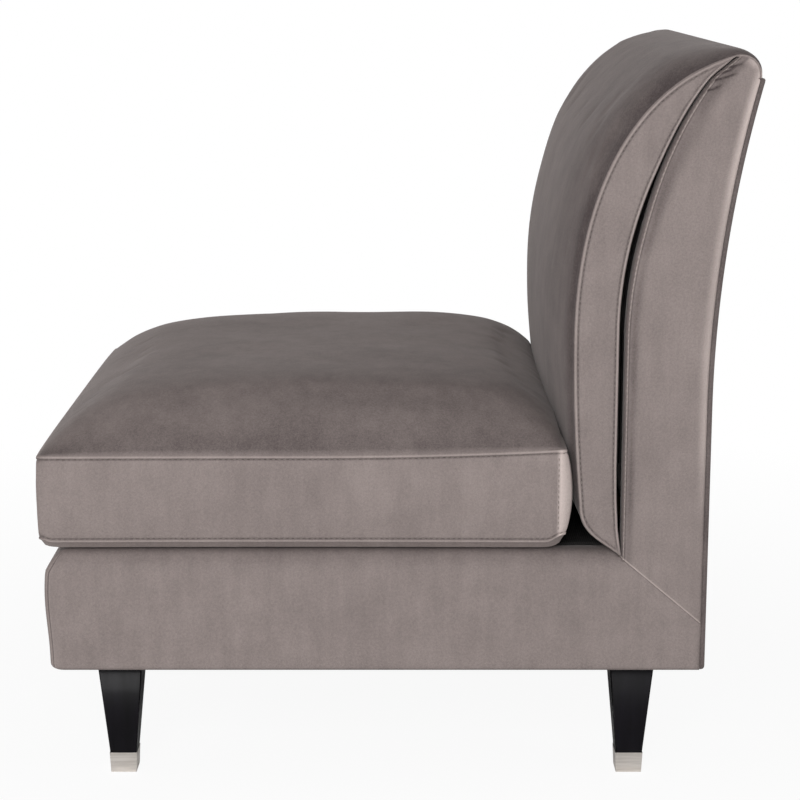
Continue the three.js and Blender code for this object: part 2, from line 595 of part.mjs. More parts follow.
// Height of the sprung surface over the rails at a given Y
const SPRING_FRONT_Y = RAIL_FRONT_Y + RAIL_THICKNESS - SPRING_END_INSET;
const SPRING_REAR_Y = SEAT_RAIL_Y + SPRING_END_INSET;
const SPRING_BASE_Z = RAIL_TOP_Z + GAP + SPRING_WIRE_RADIUS;
function springZ(y) {
  const t = (2 * (y - SPRING_FRONT_Y)) / (SPRING_REAR_Y - SPRING_FRONT_Y) - 1;
  return SPRING_BASE_Z + SPRING_CROWN * (1 - Math.min(t * t, 1));
}

// One wire of square-cut loops, swept with a small section, with a clip at each end
function buildSpring(index) {
  const x0 = (index - (SPRING_COUNT - 1) / 2) * SPRING_PITCH;
  const points = [];
  const step = (SPRING_REAR_Y - SPRING_FRONT_Y) / SPRING_LOOPS;
  for (let i = 0; i <= SPRING_LOOPS; i += 1) {
    const y = SPRING_FRONT_Y + i * step;
    const side = i % 2 ? 1 : -1;
    for (const end of [-side, side]) {
      points.push(new THREE.Vector3(x0 + end * SPRING_HALF_WIDTH, y, springZ(y)));
    }
  }
  let spring = wireOf(points, SPRING_WIRE_RADIUS, 4);
  for (const y of [SPRING_FRONT_Y, SPRING_REAR_Y]) {
    spring = spring.add(block(x0 - CLIP_WIDTH / 2, x0 + CLIP_WIDTH / 2, y - CLIP_DEPTH / 2,
      y + CLIP_DEPTH / 2, RAIL_TOP_Z + GAP, RAIL_TOP_Z + GAP + CLIP_WALL));
  }
  place("seat_spring_" + (index + 1), spring, "steel");
}

// A wire through points, mitred at each bend
function wireOf(points, radius, sides) {
  const rings = [];
  for (let i = 0; i < points.length; i += 1) {
    const before = points[Math.max(i - 1, 0)];
    const after = points[Math.min(i + 1, points.length - 1)];
    const into = points[i].clone().sub(before).normalize();
    const out = after.clone().sub(points[i]).normalize();
    if (i === 0) into.copy(out);
    if (i === points.length - 1) out.copy(into);
    const along = into.clone().add(out).normalize();
    const up = new THREE.Vector3(0, 0, 1);
    const across = new THREE.Vector3().crossVectors(along, up).normalize();
    const normal = new THREE.Vector3().crossVectors(across, along).normalize();
    const widen = 1 / Math.max(into.dot(along), 0.5);
    const ring = [];
    for (let k = 0; k < sides; k += 1) {
      const a = (2 * Math.PI * (k + 0.5)) / sides;
      ring.push(points[i].clone()
        .addScaledVector(across, radius * Math.cos(a) * widen)
        .addScaledVector(normal, radius * Math.sin(a)));
    }
    rings.push(ring);
  }
  return skin(rings);
}

// A rod across the springs, under their loops, whose ends are turned down onto the side rails
function buildTieRod() {
  const y = (SPRING_FRONT_Y + SPRING_REAR_Y) / 2;
  const low = RAIL_TOP_Z + GAP + TIE_ROD_RADIUS;
  const high = springZ(y) - SPRING_WIRE_RADIUS - TIE_ROD_RADIUS - GAP;
  const bend = SPRING_PITCH * ((SPRING_COUNT - 1) / 2) + SPRING_HALF_WIDTH + CLIP_WIDTH;
  const end = RAIL_OUTER_X - END_ROOM - CLIP_WALL;
  const half = [[bend, high], [end - CLIP_DEPTH, low], [end, low]];
  const points = [
    ...[...half].reverse().map(([x, z]) => new THREE.Vector3(-x, y, z)),
    ...half.map(([x, z]) => new THREE.Vector3(x, y, z)),
  ];
  place("spring_tie_rod", wireOf(points, TIE_ROD_RADIUS, 6), "steel");
}

function buildDeck() {
  const rear = SEAT_RAIL_Y + RAIL_THICKNESS - SHEET_WALL;
  const x = DECK_INNER_X;
  const arc = (lift, steps = 10) => {
    const points = [];
    for (let i = 0; i <= steps; i += 1) {
      const y = DECK_FRONT_Y + ((rear - DECK_FRONT_Y) * i) / steps;
      points.push([y, springZ(y) + SPRING_WIRE_RADIUS + lift]);
    }
    return points;
  };
  const sheetLow = 3 * GAP;
  const sheetHigh = sheetLow + SHEET_WALL;
  place("insulator_sheet", slab(between(arc(sheetLow), arc(sheetHigh)), -x, x), "webbing");
  const foamTop = BASE_TOP_Z - COVER_WALL - GAP;
  place("deck_foam",
    slab([...arc(sheetHigh + GAP), [rear, foamTop], [DECK_FRONT_Y, foamTop]], -x, x), "foam");
  place("deck_cover", block(-x, x, DECK_FRONT_Y, PAD_BOTTOM_Y - RETURN_WIDTH / 2, BASE_TOP_Z - COVER_WALL,
    BASE_TOP_Z), "lining");
}

// Dust cover: a thin sheet under the rails, pierced for the four bolts
function buildDustCover() {
  const x = HALF - HEM_WIDTH - GAP;
  const z1 = RAIL_BOTTOM_Z - GAP;
  const z0 = z1 - SHEET_WALL;
  let sheet = block(-x, x, BASE_FRONT_Y + HEM_WIDTH + GAP, BASE_REAR_Y - GAP, z0, z1);
  const bore = BOLT_RADIUS + 2 * GAP;
  for (const y of [FRONT_LEG_Y, REAR_LEG_Y]) {
    for (const [, sign] of SIDES) {
      sheet = sheet.subtract(turned(
        [[0, z0 - OVERRUN], [bore, z0 - OVERRUN], [bore, z1 + OVERRUN], [0, z1 + OVERRUN]],
        sign * LEG_X, y, 8));
    }
  }
  place("dust_cover", sheet, "lining");
}

// Back frame: two curved posts, a lower rail and a top rail
function buildBackFrame() {
  const foot = BASE_BOTTOM_Z + BASE_LOWER_RADIUS + GAP; // clear of the cover's rounded lower edge
  const post = between(frontLine(POST_FRONT_SET, foot, POST_TOP_Z),
    outsideLine(POST_REAR_SET, foot, POST_TOP_Z));
  for (const [side, sign] of SIDES) {
    place("back_post_" + side, sideSlab(post, POST_INNER_X, POST_OUTER_X, sign), "timber");
  }
  const x = POST_INNER_X - GAP;
  for (const [name, z0] of [["back_lower_rail", LOWER_RAIL_Z], ["back_top_rail", TOP_RAIL_Z]]) {
    const z1 = z0 + BACK_RAIL_HEIGHT;
    const section = between(frontLine(POST_FRONT_SET, z0, z1, 2),
      frontLine(POST_FRONT_SET + BACK_RAIL_THICKNESS, z0, z1, 2));
    place(name, slab(section, -x, x), "timber");
  }
}

// Webbing straps across the posts' front edges
const STRAP_SET = POST_FRONT_SET - GAP - STRAP_WALL;
function buildStraps() {
  const low = LOWER_RAIL_Z + BACK_RAIL_HEIGHT / 2;
  const high = TOP_RAIL_Z + BACK_RAIL_HEIGHT / 2;
  STRAP_HEIGHTS_share.forEach((share, i) => {
    const z = low + (high - low) * share;
    const section = between(frontLine(STRAP_SET, z - STRAP_WIDTH / 2, z + STRAP_WIDTH / 2, 2),
      frontLine(STRAP_SET + STRAP_WALL, z - STRAP_WIDTH / 2, z + STRAP_WIDTH / 2, 2));
    place("webbing_strap_" + (i + 1), slab(section, -POST_OUTER_X, POST_OUTER_X), "webbing");
  });
}

// The lower edge of the cover over the top, as the region above it: level at the front, then down to
// the top of the outside back
const NOSE_LOW_Z = BACK_PANEL_TOP_Z - 4 * NOSE_WALL;
const NOSE_REAR_Y = outsideLine(NOSE_WALL, OUTSIDE_TOP_Z - OVERRUN, OUTSIDE_TOP_Z, 1)[1][0];
function aboveNoseLine(shift) {
  const front = NOSE_FRONT_Y - 4 * OVERRUN;
  const rear = NOSE_REAR_Y + 4 * OVERRUN;
  const high = NOSE_TOP_Z + OVERRUN;
  return slab([[front, NOSE_LOW_Z - shift], [NOSE_FRONT_Y, NOSE_LOW_Z - shift],
    [NOSE_REAR_Y, OUTSIDE_TOP_Z + GAP - shift], [rear, OUTSIDE_TOP_Z + GAP - shift], [rear, high],
    [front, high]], -HALF - OVERRUN, HALF + OVERRUN);
}

// Side panels: the flat velvet side of the back, turned in over the post's front edge
function buildSidePanels() {
  const panelRear = EDGE_RETURN + GAP;
  const top = NOSE_LOW_Z;
  const outline = between(frontLine(0, BASE_BOTTOM_Z, top), outsideLine(panelRear, BASE_BOTTOM_Z, top));
  const low = BASE_TOP_Z + GAP;
  const frontEdge = between(frontLine(0, low, top), frontLine(COVER_WALL, low, top));
  const above = aboveNoseLine(GAP);
  for (const [side, sign] of SIDES) {
    const panel = sideSlab(outline, HALF - COVER_WALL, HALF, sign).subtract(beforeMitre())
      .add(sideSlab(frontEdge, HALF - RETURN_WIDTH, HALF, sign))
      .subtract(above);
    place("side_panel_" + side, panel, "velvet");
  }
}

// Outside back: a stiff board and the velvet over it, whose edges turn forward
function buildOutsideBack() {
  const boardX = HALF - COVER_WALL - GAP;
  const boardLow = OUTSIDE_BOTTOM_Z + COVER_WALL;
  const board = between(outsideLine(BOARD_SET + BOARD_WALL, boardLow, BOARD_TOP_Z),
    outsideLine(BOARD_SET, boardLow, BOARD_TOP_Z));
  place("outside_back_board", slab(board, -boardX, boardX), "timber");
  const face = between(outsideLine(COVER_WALL, OUTSIDE_BOTTOM_Z, OUTSIDE_TOP_Z),
    outsideLine(0, OUTSIDE_BOTTOM_Z, OUTSIDE_TOP_Z));
  const edge = between(outsideLine(EDGE_RETURN, OUTSIDE_BOTTOM_Z, OUTSIDE_TOP_Z),
    outsideLine(0, OUTSIDE_BOTTOM_Z, OUTSIDE_TOP_Z));
  let cover = slab(face, -HALF, HALF);
  for (const [, sign] of SIDES) cover = cover.add(sideSlab(edge, HALF - COVER_WALL, HALF, sign));
  place("outside_back_cover", cover, "velvet");
}

// Top cover: velvet over the nose of the back, closed at both ends by folded pleats
function noseProfile(inset) {
  const rearTop = outsideLine(inset, OUTSIDE_TOP_Z, OUTSIDE_TOP_Z + OVERRUN, 1)[0];
  const shape = new THREE.Path();
  const z0 = OUTSIDE_TOP_Z + GAP;
  const frontZ = BACK_PANEL_TOP_Z - NOSE_WALL;
  shape.moveTo(rearTop[0], z0);
  shape.bezierCurveTo(rearTop[0], NOSE_TOP_Z - NOSE_WALL * 3, rearTop[0] - NOSE_WALL, NOSE_TOP_Z - inset,
    NOSE_CREST_Y, NOSE_TOP_Z - inset);
  shape.bezierCurveTo(NOSE_CREST_Y - NOSE_WALL * 3, NOSE_TOP_Z - inset, NOSE_FRONT_Y + inset * 2,
    frontZ + NOSE_WALL, NOSE_FRONT_Y + inset * 2, frontZ - inset);
  return shape;
}

function buildTopCover() {
  const points = (inset) => noseProfile(inset).getSpacedPoints(10).map((p) => [p.x, p.y]);
  const outer = points(0);
  const inner = points(NOSE_WALL);
  const lowZ = OUTSIDE_TOP_Z - OVERRUN;
  const nose = slab([[outer[0][0], lowZ], ...outer, [outer[10][0], lowZ]], -HALF, HALF);
  const hollow = slab([[inner[0][0], lowZ - OVERRUN], ...inner, [inner[10][0], lowZ - OVERRUN]],
    -HALF + COVER_WALL, HALF - COVER_WALL);
  place("top_cover", nose.subtract(hollow).intersect(aboveNoseLine(0)), "velvet");
  const core = points(NOSE_WALL + GAP);
  const roll = slab([[core[0][0], lowZ], ...core, [core[10][0], lowZ]], -POST_OUTER_X, POST_OUTER_X);
  const abovePosts = block(-HALF, HALF, NOSE_FRONT_Y - OVERRUN, outer[0][0] + OVERRUN,
    POST_TOP_Z + GAP, NOSE_TOP_Z + OVERRUN);
  place("top_padding", roll.intersect(abovePosts), "foam");
}

// The attached pad: its front and rear seams as seen from the side
function padFrontSeam() {
  const path = new THREE.Path();
  path.moveTo(PAD_BOTTOM_Y, PAD_BOTTOM_Z);
  path.bezierCurveTo(PAD_BOTTOM_Y - PAD_FOOT_REACH, PAD_BOTTOM_Z + PAD_FOOT_RISE, PAD_TURN_Y,
    PAD_TURN_Z - PAD_FOOT_DROP, PAD_TURN_Y, PAD_TURN_Z);
  path.quadraticCurveTo(PAD_FRONT_Y, (PAD_TURN_Z + PAD_STRAIGHT_TOP_Z) / 2, PAD_FRONT_Y, PAD_STRAIGHT_TOP_Z);
  const end = Math.acos(1 - (PAD_TOP_Y - PAD_FRONT_Y) / PAD_BEND_DEPTH);
  const rise = (PAD_TOP_Z - PAD_STRAIGHT_TOP_Z) / Math.sin(end);
  path.absellipse(PAD_FRONT_Y + PAD_BEND_DEPTH, PAD_STRAIGHT_TOP_Z, PAD_BEND_DEPTH, rise, Math.PI,
    Math.PI - end, true);
  return path;
}
function padRearSeam() {
  const path = new THREE.Path();
  path.moveTo(PAD_BOTTOM_Y - PAD_COVER_WALL, PAD_REAR_FOOT_Z);
  path.lineTo(PAD_REAR_Y, PAD_REAR_LEVEL_Z);
  path.lineTo(PAD_REAR_Y, PAD_REAR_BEND_Z);
  const end = Math.asin((PAD_REAR_TOP_Z - PAD_REAR_BEND_Z) / PAD_REAR_RADIUS);
  path.absarc(PAD_REAR_Y + PAD_REAR_RADIUS, PAD_REAR_BEND_Z, PAD_REAR_RADIUS, Math.PI, Math.PI - end, true);
  return path;
}

// The points of a seam, each moved along the seam's own normal
function seamPoints(path, count, inset, from, to) {
  const points = [];
  for (let i = 0; i <= count; i += 1) {
    const t = from + ((to - from) * i) / count;
    const p = path.getPointAt(t);
    const tangent = path.getTangentAt(t);
    points.push([p.x + tangent.y * inset, p.y - tangent.x * inset]);
  }
  return points;
}

// The pad as a crowned block: rows across it, each with a front line, a border and a rear line
function padBlock(inset, rows, columns, from, to) {
  const front = seamPoints(padFrontSeam(), rows, inset, from, to);
  const rear = seamPoints(padRearSeam(), rows, -inset, from, to);
  const half = PAD_HALF_WIDTH - inset;
  const rings = [];
  for (let i = 0; i <= rows; i += 1) {
    const t = from + ((to - from) * i) / rows;
    const along = (t - PAD_CROWN_START_share) / PAD_CROWN_SPAN_share;
    const rise = PAD_CROWN * Math.sin(Math.PI * Math.min(Math.max(along, 0), 1)) ** 1.3;
    const slope = padFrontSeam().getTangentAt(t);
    const ring = [];
    for (let j = 0; j <= columns; j += 1) {
      const u = (2 * j) / columns - 1;
      const share = Math.sign(u) * (1 - (1 - Math.abs(u)) ** 1.5);
      const crown = rise * (1 - Math.abs(share) ** 2.6);
      ring.push(new THREE.Vector3(half * share, front[i][0] - crown * slope.y,
        front[i][1] + crown * slope.x));
    }
    for (let j = columns; j >= 0; j -= 1) {
      const u = (2 * j) / columns - 1;
      const share = Math.sign(u) * (1 - (1 - Math.abs(u)) ** 1.5);
      ring.push(new THREE.Vector3(half * share, rear[i][0], rear[i][1]));
    }
    rings.push(ring);
  }
  return skin(rings);
}

function buildBackPad() {
  const mouth = block(-PAD_MOUTH_WIDTH / 2, PAD_MOUTH_WIDTH / 2, PAD_REAR_Y - 2 * PAD_COVER_WALL,
    PAD_REAR_Y + OVERRUN, PAD_MOUTH_Z, PAD_MOUTH_Z + PAD_MOUTH_HEIGHT);
  // the foam's rows fall on rows of the hollow, one row in from each end
  const rows = 18;
  const [low_share, high_share] = [0.02, 0.95];
  const row_share = (high_share - low_share) / rows;
  const hollow = padBlock(PAD_COVER_WALL, rows, 8, low_share, high_share);
  place("back_pad_cover", padBlock(0, 20, 14, 0, 1).subtract(hollow).subtract(mouth), "velvet");
  place("back_pad_foam", padBlock(PAD_COVER_WALL + GAP, rows - 2, 8, low_share + row_share,
    high_share - row_share), "foam");
}

// Thin foam between the pad and the straps
function buildBackFoam() {
  const z0 = LOWER_RAIL_Z;
  const z1 = TOP_RAIL_Z + BACK_RAIL_HEIGHT / 2;
  const front = bentLine(PAD_REAR_Y, PAD_REAR_BEND_Z, PAD_REAR_RADIUS, GAP, PAD_REAR_LEVEL_Z, z1, 8);
  const rear = frontLine(STRAP_SET - GAP, z0 + STRAP_WIDTH / 2, z1, 8);
  const x = HALF - RETURN_WIDTH - GAP;
  place("back_foam", slab(between(front, rear), -x, x), "foam");
}

// The loose cushion: a grid over its plan, crowned above, swollen below, with a bulged border
function cushionBlock(inset, cells, borderRows) {
  const half = CUSHION_HALF_WIDTH - inset;
  const front = CUSHION_FRONT_Y + inset;
  const rear = CUSHION_REAR_Y - inset;
  const midY = (front + rear) / 2;
  const depth = (rear - front) / 2;
  const share = (i) => {
    const t = (2 * i) / cells - 1;
    return Math.sign(t) * (1 - (1 - Math.abs(t)) ** 1.6);
  };
  const plan = (u, v, bulge) => {
    const corner = CUSHION_CORNER_share * Math.abs(u * v) ** 14;
    const pullX = (CUSHION_PULL / half) * (1 - v * v) * Math.abs(u) ** 6;
    const pullY = v < 0 ? (CUSHION_PULL / depth) * (1 - u * u) * Math.abs(v) ** 6 : 0;
    const x = half * u * (1 - corner - pullX);
    const y = midY + depth * v * (1 - corner - pullY);
    const outX = Math.abs(u) === 1 ? Math.sign(u) * bulge : 0;
    const outY = Math.abs(v) === 1 ? Math.sign(v) * bulge : 0;
    return [x + outX, y + outY];
  };
  const upperSeam = (v) => CUSHION_UPPER_SEAM_Z - inset + CUSHION_REAR_RISE * Math.max(v, 0) ** 2;
  const lowerSeam = CUSHION_LOWER_SEAM_Z + inset;
  const dome = (u, v, power) => {
    const product = (1 - Math.abs(u) ** power) * (1 - Math.abs(v) ** power);
    return Math.sqrt(Math.max(product, 0));
  };
  const positions = [];
  const key = new Map();
  const vertex = (name, x, y, z) => {
    if (!key.has(name)) {
      key.set(name, positions.length / 3);
      positions.push(x, y, z);
    }
    return key.get(name);
  };
  const upper = (i, j) => {
    const [u, v] = [share(i), share(j)];
    const [x, y] = plan(u, v, 0);
    return vertex("u" + i + "_" + j, x, y, upperSeam(v) + CUSHION_CROWN * dome(u, v, 4));
  };
  const lower = (i, j) => {
    const [u, v] = [share(i), share(j)];
    const [x, y] = plan(u, v, 0);
    return vertex("l" + i + "_" + j, x, y, lowerSeam - CUSHION_SAG * dome(u, v, 6));
  };
  const index = [];
  for (let i = 0; i < cells; i += 1) {
    for (let j = 0; j < cells; j += 1) {
      index.push(upper(i, j), upper(i + 1, j), upper(i + 1, j + 1), upper(i, j), upper(i + 1, j + 1),
        upper(i, j + 1));
      index.push(lower(i, j), lower(i + 1, j + 1), lower(i + 1, j), lower(i, j), lower(i, j + 1),
        lower(i + 1, j + 1));
    }
  }
  const rim = [];
  for (let i = 0; i < cells; i += 1) rim.push([i, 0]);
  for (let j = 0; j < cells; j += 1) rim.push([cells, j]);
  for (let i = cells; i > 0; i -= 1) rim.push([i, cells]);
  for (let j = cells; j > 0; j -= 1) rim.push([0, j]);
  const border = (r, row) => {
    const [i, j] = rim[r % rim.length];
    if (row === 0) return lower(i, j);
    if (row === borderRows) return upper(i, j);
    const [u, v] = [share(i), share(j)];
    const rise = row / borderRows;
    const [x, y] = plan(u, v, CUSHION_BULGE * Math.sin(Math.PI * rise) ** 0.7);
    return vertex("b" + (r % rim.length) + "_" + row, x, y, lowerSeam + (upperSeam(v) - lowerSeam) * rise);
  };
  for (let r = 0; r < rim.length; r += 1) {
    for (let row = 0; row < borderRows; row += 1) {
      const [a, b, c, d] = [border(r, row), border(r + 1, row), border(r + 1, row + 1), border(r, row + 1)];
      index.push(a, b, c, a, c, d);
    }
  }
  const geometry = new THREE.BufferGeometry();
  geometry.setAttribute("position", new THREE.BufferAttribute(new Float32Array(positions), 3));
  geometry.setIndex(index);
  return solidOf(geometry);
}

function buildCushion() {
  const rearFace = CUSHION_REAR_Y + CUSHION_BULGE;
  const slot = block(-ZIP_LENGTH / 2, ZIP_LENGTH / 2, rearFace - CUSHION_BULGE * 2, rearFace + OVERRUN,
    ZIP_Z - ZIP_SLOT_HEIGHT / 2, ZIP_Z + ZIP_SLOT_HEIGHT / 2);
  place("seat_cover",
    cushionBlock(0, 14, 5).subtract(cushionBlock(CUSHION_WALL, 9, 3)).subtract(slot), "velvet");
  const wrapSet = CUSHION_WALL + GAP;
  const coreSet = wrapSet + WRAP_WALL;
  const mouthFront = CUSHION_REAR_Y - 2 * WRAP_WALL - CUSHION_WALL;
  const wrapMouth = block(-CUSHION_HALF_WIDTH, CUSHION_HALF_WIDTH, mouthFront, CUSHION_REAR_Y + 2 * OVERRUN,
    CUSHION_LOWER_SEAM_Z + 2 * coreSet, CUSHION_UPPER_SEAM_Z - 2 * coreSet);
  place("seat_fibre_wrap",
    cushionBlock(wrapSet, 9, 3).subtract(cushionBlock(coreSet, 6, 2)).subtract(wrapMouth), "fibre");
  place("seat_foam", cushionBlock(coreSet + GAP, 6, 2), "foam");
}

function buildZip() {
  const rearFace = CUSHION_REAR_Y + CUSHION_BULGE;
  const tapeY = rearFace - CUSHION_WALL - ZIP_TAPE_WALL - 4 * GAP;
  const half = ZIP_LENGTH / 2;
  const tape = block(-half - OVERRUN, half + OVERRUN, tapeY, tapeY + ZIP_TAPE_WALL,
    ZIP_Z - ZIP_TAPE_HEIGHT / 2, ZIP_Z + ZIP_TAPE_HEIGHT / 2);
  const chain = block(-half + OVERRUN, half - OVERRUN, tapeY, tapeY + ZIP_TAPE_WALL + ZIP_CHAIN_DEPTH,
    ZIP_Z - ZIP_CHAIN_HEIGHT / 2, ZIP_Z + ZIP_CHAIN_HEIGHT / 2);
  place("zip_tape", tape.add(chain), "lining");
  const chainY = tapeY + ZIP_TAPE_WALL + ZIP_CHAIN_DEPTH;
  const lip = ZIP_CHAIN_HEIGHT / 2 + GAP;
  const x = [SLIDER_START_X - SLIDER_LENGTH / 2, SLIDER_START_X + SLIDER_LENGTH / 2];
  const body = block(...x, tapeY + ZIP_TAPE_WALL + GAP, chainY + GAP + SLIDER_WALL, ZIP_Z - lip - SLIDER_WALL,
    ZIP_Z + lip + SLIDER_WALL);
  const groove = block(x[0] - OVERRUN, x[1] + OVERRUN, tapeY, chainY + GAP, ZIP_Z - lip, ZIP_Z + lip);
  const bridge = block(SLIDER_START_X - SLIDER_LENGTH / 4, SLIDER_START_X + SLIDER_LENGTH / 4,
    chainY + GAP, chainY + GAP + 2 * SLIDER_WALL, ZIP_Z - SLIDER_WALL, ZIP_Z + SLIDER_WALL);
  place("zip_slider", body.subtract(groove).add(bridge), "nickel");
}

buildLegs();
buildSeatFrame();
buildCornerBlocks();
for (let i = 0; i < SPRING_COUNT; i += 1) buildSpring(i);
buildTieRod();
buildDeck();
buildDustCover();
buildBasePadding();
buildBaseCovers();
buildBackFrame();
buildStraps();
buildSidePanels();
buildOutsideBack();
buildTopCover();
buildBackFoam();
buildBackPad();
buildCushion();
buildZip();

export default chair;
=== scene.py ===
"""A slipper chair in taupe velvet: upholstery, legs and zip over its assembled parts, in a soft studio."""

import logging
import math
from bisect import bisect_right
from collections.abc import Callable, Iterable, Sequence
from dataclasses import dataclass, field
from enum import Enum

import bmesh
import bpy
from bmesh.types import BMEdge, BMLayerItem, BMVert, BMesh
from bpy.types import Material, Mesh, Modifier, Node, NodeSocket, NodeTree, Object, World
from mathutils import Matrix, Vector, noise
from mathutils.bvhtree import BVHTree
from mathutils.geometry import barycentric_transform


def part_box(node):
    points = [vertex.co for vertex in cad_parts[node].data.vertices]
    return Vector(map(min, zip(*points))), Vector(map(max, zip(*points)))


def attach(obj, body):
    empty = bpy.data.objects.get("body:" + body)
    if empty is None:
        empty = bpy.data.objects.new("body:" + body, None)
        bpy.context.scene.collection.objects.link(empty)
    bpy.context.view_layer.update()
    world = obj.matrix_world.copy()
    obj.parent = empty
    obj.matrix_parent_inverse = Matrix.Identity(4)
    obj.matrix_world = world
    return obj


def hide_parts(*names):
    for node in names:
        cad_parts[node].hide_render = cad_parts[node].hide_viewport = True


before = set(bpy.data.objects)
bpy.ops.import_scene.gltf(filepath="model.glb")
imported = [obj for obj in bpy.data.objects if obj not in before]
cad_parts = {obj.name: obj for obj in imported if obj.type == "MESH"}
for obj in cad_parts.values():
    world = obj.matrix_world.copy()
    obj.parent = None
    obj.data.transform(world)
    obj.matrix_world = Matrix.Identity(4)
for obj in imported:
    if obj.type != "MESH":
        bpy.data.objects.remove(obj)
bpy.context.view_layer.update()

MM = 0.001  # metres in a millimetre: sizes and places below are in millimetres
TINY = 1e-9
WHITE = (1.0, 1.0, 1.0, 1.0)
QUARTER = math.pi / 2.0  # of a turn
LOG = logging.getLogger("slipper_chair")

HALF = 345.0  # from the chair's middle to its sides
BASE_FRONT_Y = -402.0
BASE_BOTTOM_Z = 138.0
BASE_TOP_Z = 282.0
MITRE_FRONT = Vector((0.0, 263.0, 275.0))  # the seam between a side panel and the base, at its front end
MITRE_REAR = Vector((0.0, 361.0, 192.0))  # and at its rear end
# painted highlight and painted shade on the line where two panels are sewn together, for the light on the
# seam's ridge and the shade in its groove
SEAM_HIGHLIGHT = 0.3  # on the line where two panels are sewn together
SEAM_SHADE = 0.45
ZIP_Z = 343.65
ZIP_TAPE_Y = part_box("zip_tape")[0].y / MM  # the inner face of the zip's tapes

VELVET_WALL = 1.8
LINING_WALL = 0.8
ZIP_TAPE_WALL = 0.7
WELD = 0.02  # corners closer than this are one corner
SEAM_WELD = 0.05  # the same where panels meet along a sewn seam
STITCH_LENGTH = 0.34  # half of a stitch's length, as a share of the pitch
STITCH_WIDTH = 0.5  # half of its width
STITCH_HEIGHT = 0.42
STITCH_PROUD = 0.12


class Finish(Enum):
    """The finishes of the chair, each with the material slot that it stands for."""

    VELVET = "velvet"
    THREAD = "thread"
    LINING = "lining"
    FOAM = "foam"
    FIBRE = "fibre"
    WEBBING = "webbing"
    TIMBER = "timber"
    LACQUER = "lacquer"
    NICKEL = "nickel"
    STEEL = "steel"

    @property
    def label(self) -> str:
        """The name of the finish's material."""
        return f"{self.value}_finish"

    @property
    def material(self) -> Material:
        """The finish's material."""
        return bpy.data.materials[self.label]


# Small maths


def clamp(value: float, low: float = 0.0, high: float = 1.0) -> float:
    """Returns value held between low and high."""
    return max(low, min(high, value))


def ease(value: float) -> float:
    """Returns value, held between 0 and 1, on a smooth S-shaped ramp."""
    share = clamp(value)
    return share * share * (3.0 - 2.0 * share)


def bell(distance: float, width: float) -> float:
    """Returns 1 at no distance, falling smoothly to 0 at width on either side."""
    return 1.0 - ease(abs(distance) / width)


def bend_out(rise: float, radius: float) -> float:
    """Returns how far an upright line has swung out at rise above the start of its bend."""
    reach = max(rise, 0.0)
    return radius - math.sqrt(radius * radius - reach * reach)


def bezier(controls: Sequence[Vector], share: float) -> Vector:
    """Returns one point of a Bezier curve.

    Args:
        controls: its control points, in order.
        share: how far along the curve, from 0 to 1.

    Returns:
        The point there.
    """
    points = list(controls)
    while len(points) > 1:
        points = [a.lerp(b, share) for a, b in zip(points, points[1:])]
    return points[0]


def curve(controls: Sequence[Vector], steps: int = 24) -> list[Vector]:
    """Returns steps + 1 points along a Bezier curve."""
    return [bezier(controls, step / steps) for step in range(steps + 1)]


class Track:
    """A line through points, read by share of its length."""

    def __init__(self, points: Iterable[Vector]) -> None:
        """Measures the line.

        Args:
            points: that it runs through, in order.
        """
        self.points = [Vector(point) for point in points]
        self.lengths = [0.0]
        for start, end in zip(self.points, self.points[1:]):
            self.lengths.append(self.lengths[-1] + (end - start).length)

    @property
    def length(self) -> float:
        """The length of the whole line."""
        return self.lengths[-1]

    def at(self, share: float) -> Vector:
        """Returns one point of the line.

        Args:
            share: of its length, held between 0 and 1.

        Returns:
            The point there.
        """
        distance = clamp(share) * self.length
        index = min(bisect_right(self.lengths, distance), len(self.points) - 1)
        span = self.lengths[index] - self.lengths[index - 1]
        part = (distance - self.lengths[index - 1]) / span if span > 0.0 else 0.0
        return self.points[index - 1].lerp(self.points[index], part)

    def slope(self, share: float) -> Vector:
        """Returns the direction of the line at share of the length."""
        return (self.at(clamp(share + 0.01)) - self.at(clamp(share - 0.01))).normalized()


Edges = tuple[Track, Track, Track, Track]  # the front, rear, mitre and top edges of a side panel


def rolled(distance: float, radius: float) -> tuple[float, float]:
    """Returns where cloth lies that rolls over an edge from one face to the next.

    Args:
        distance: along the cloth from the start of the roll; below 0 on the first face.
        radius: of the roll.

    Returns:
        The depth below the second face and the reach along it from the edge.
    """
    arc = radius * QUARTER
    if distance <= 0.0:
        return radius - distance, 0.0
    if distance >= arc:
        return 0.0, radius + distance - arc
    angle = distance / radius
    return radius * (1.0 - math.sin(angle)), radius * (1.0 - math.cos(angle))


def spread(length: float, cell: float, near: Sequence[float] = (), far: Sequence[float] = ()) -> list[float]:
    """Returns distances from 0 to length for the rows or columns of a woven surface.

    Args:
        length: of the surface.
        cell: the longest step between two rows.
        near: distances from the start that get a row of their own.
        far: the same from the end.

    Returns:
        The sorted distances, both ends among them.
    """
    ends = sorted({0.0, length, *near, *(length - gap for gap in far)})
    found = [ends[0]]
    for start, end in zip(ends, ends[1:]):
        steps = max(1, math.ceil((end - start) / cell))
        found += [start + (end - start) * step / steps for step in range(1, steps + 1)]
    return found


# Woven surfaces


@dataclass(frozen=True)
class Spot:
    """A point of a woven surface, in millimetres, with its painted highlight, its painted shade and how
    firmly held it is.
    """

    place: Vector
    painted_highlight: float = 0.0
    painted_shade: float = 0.0
    held: float = 0.0


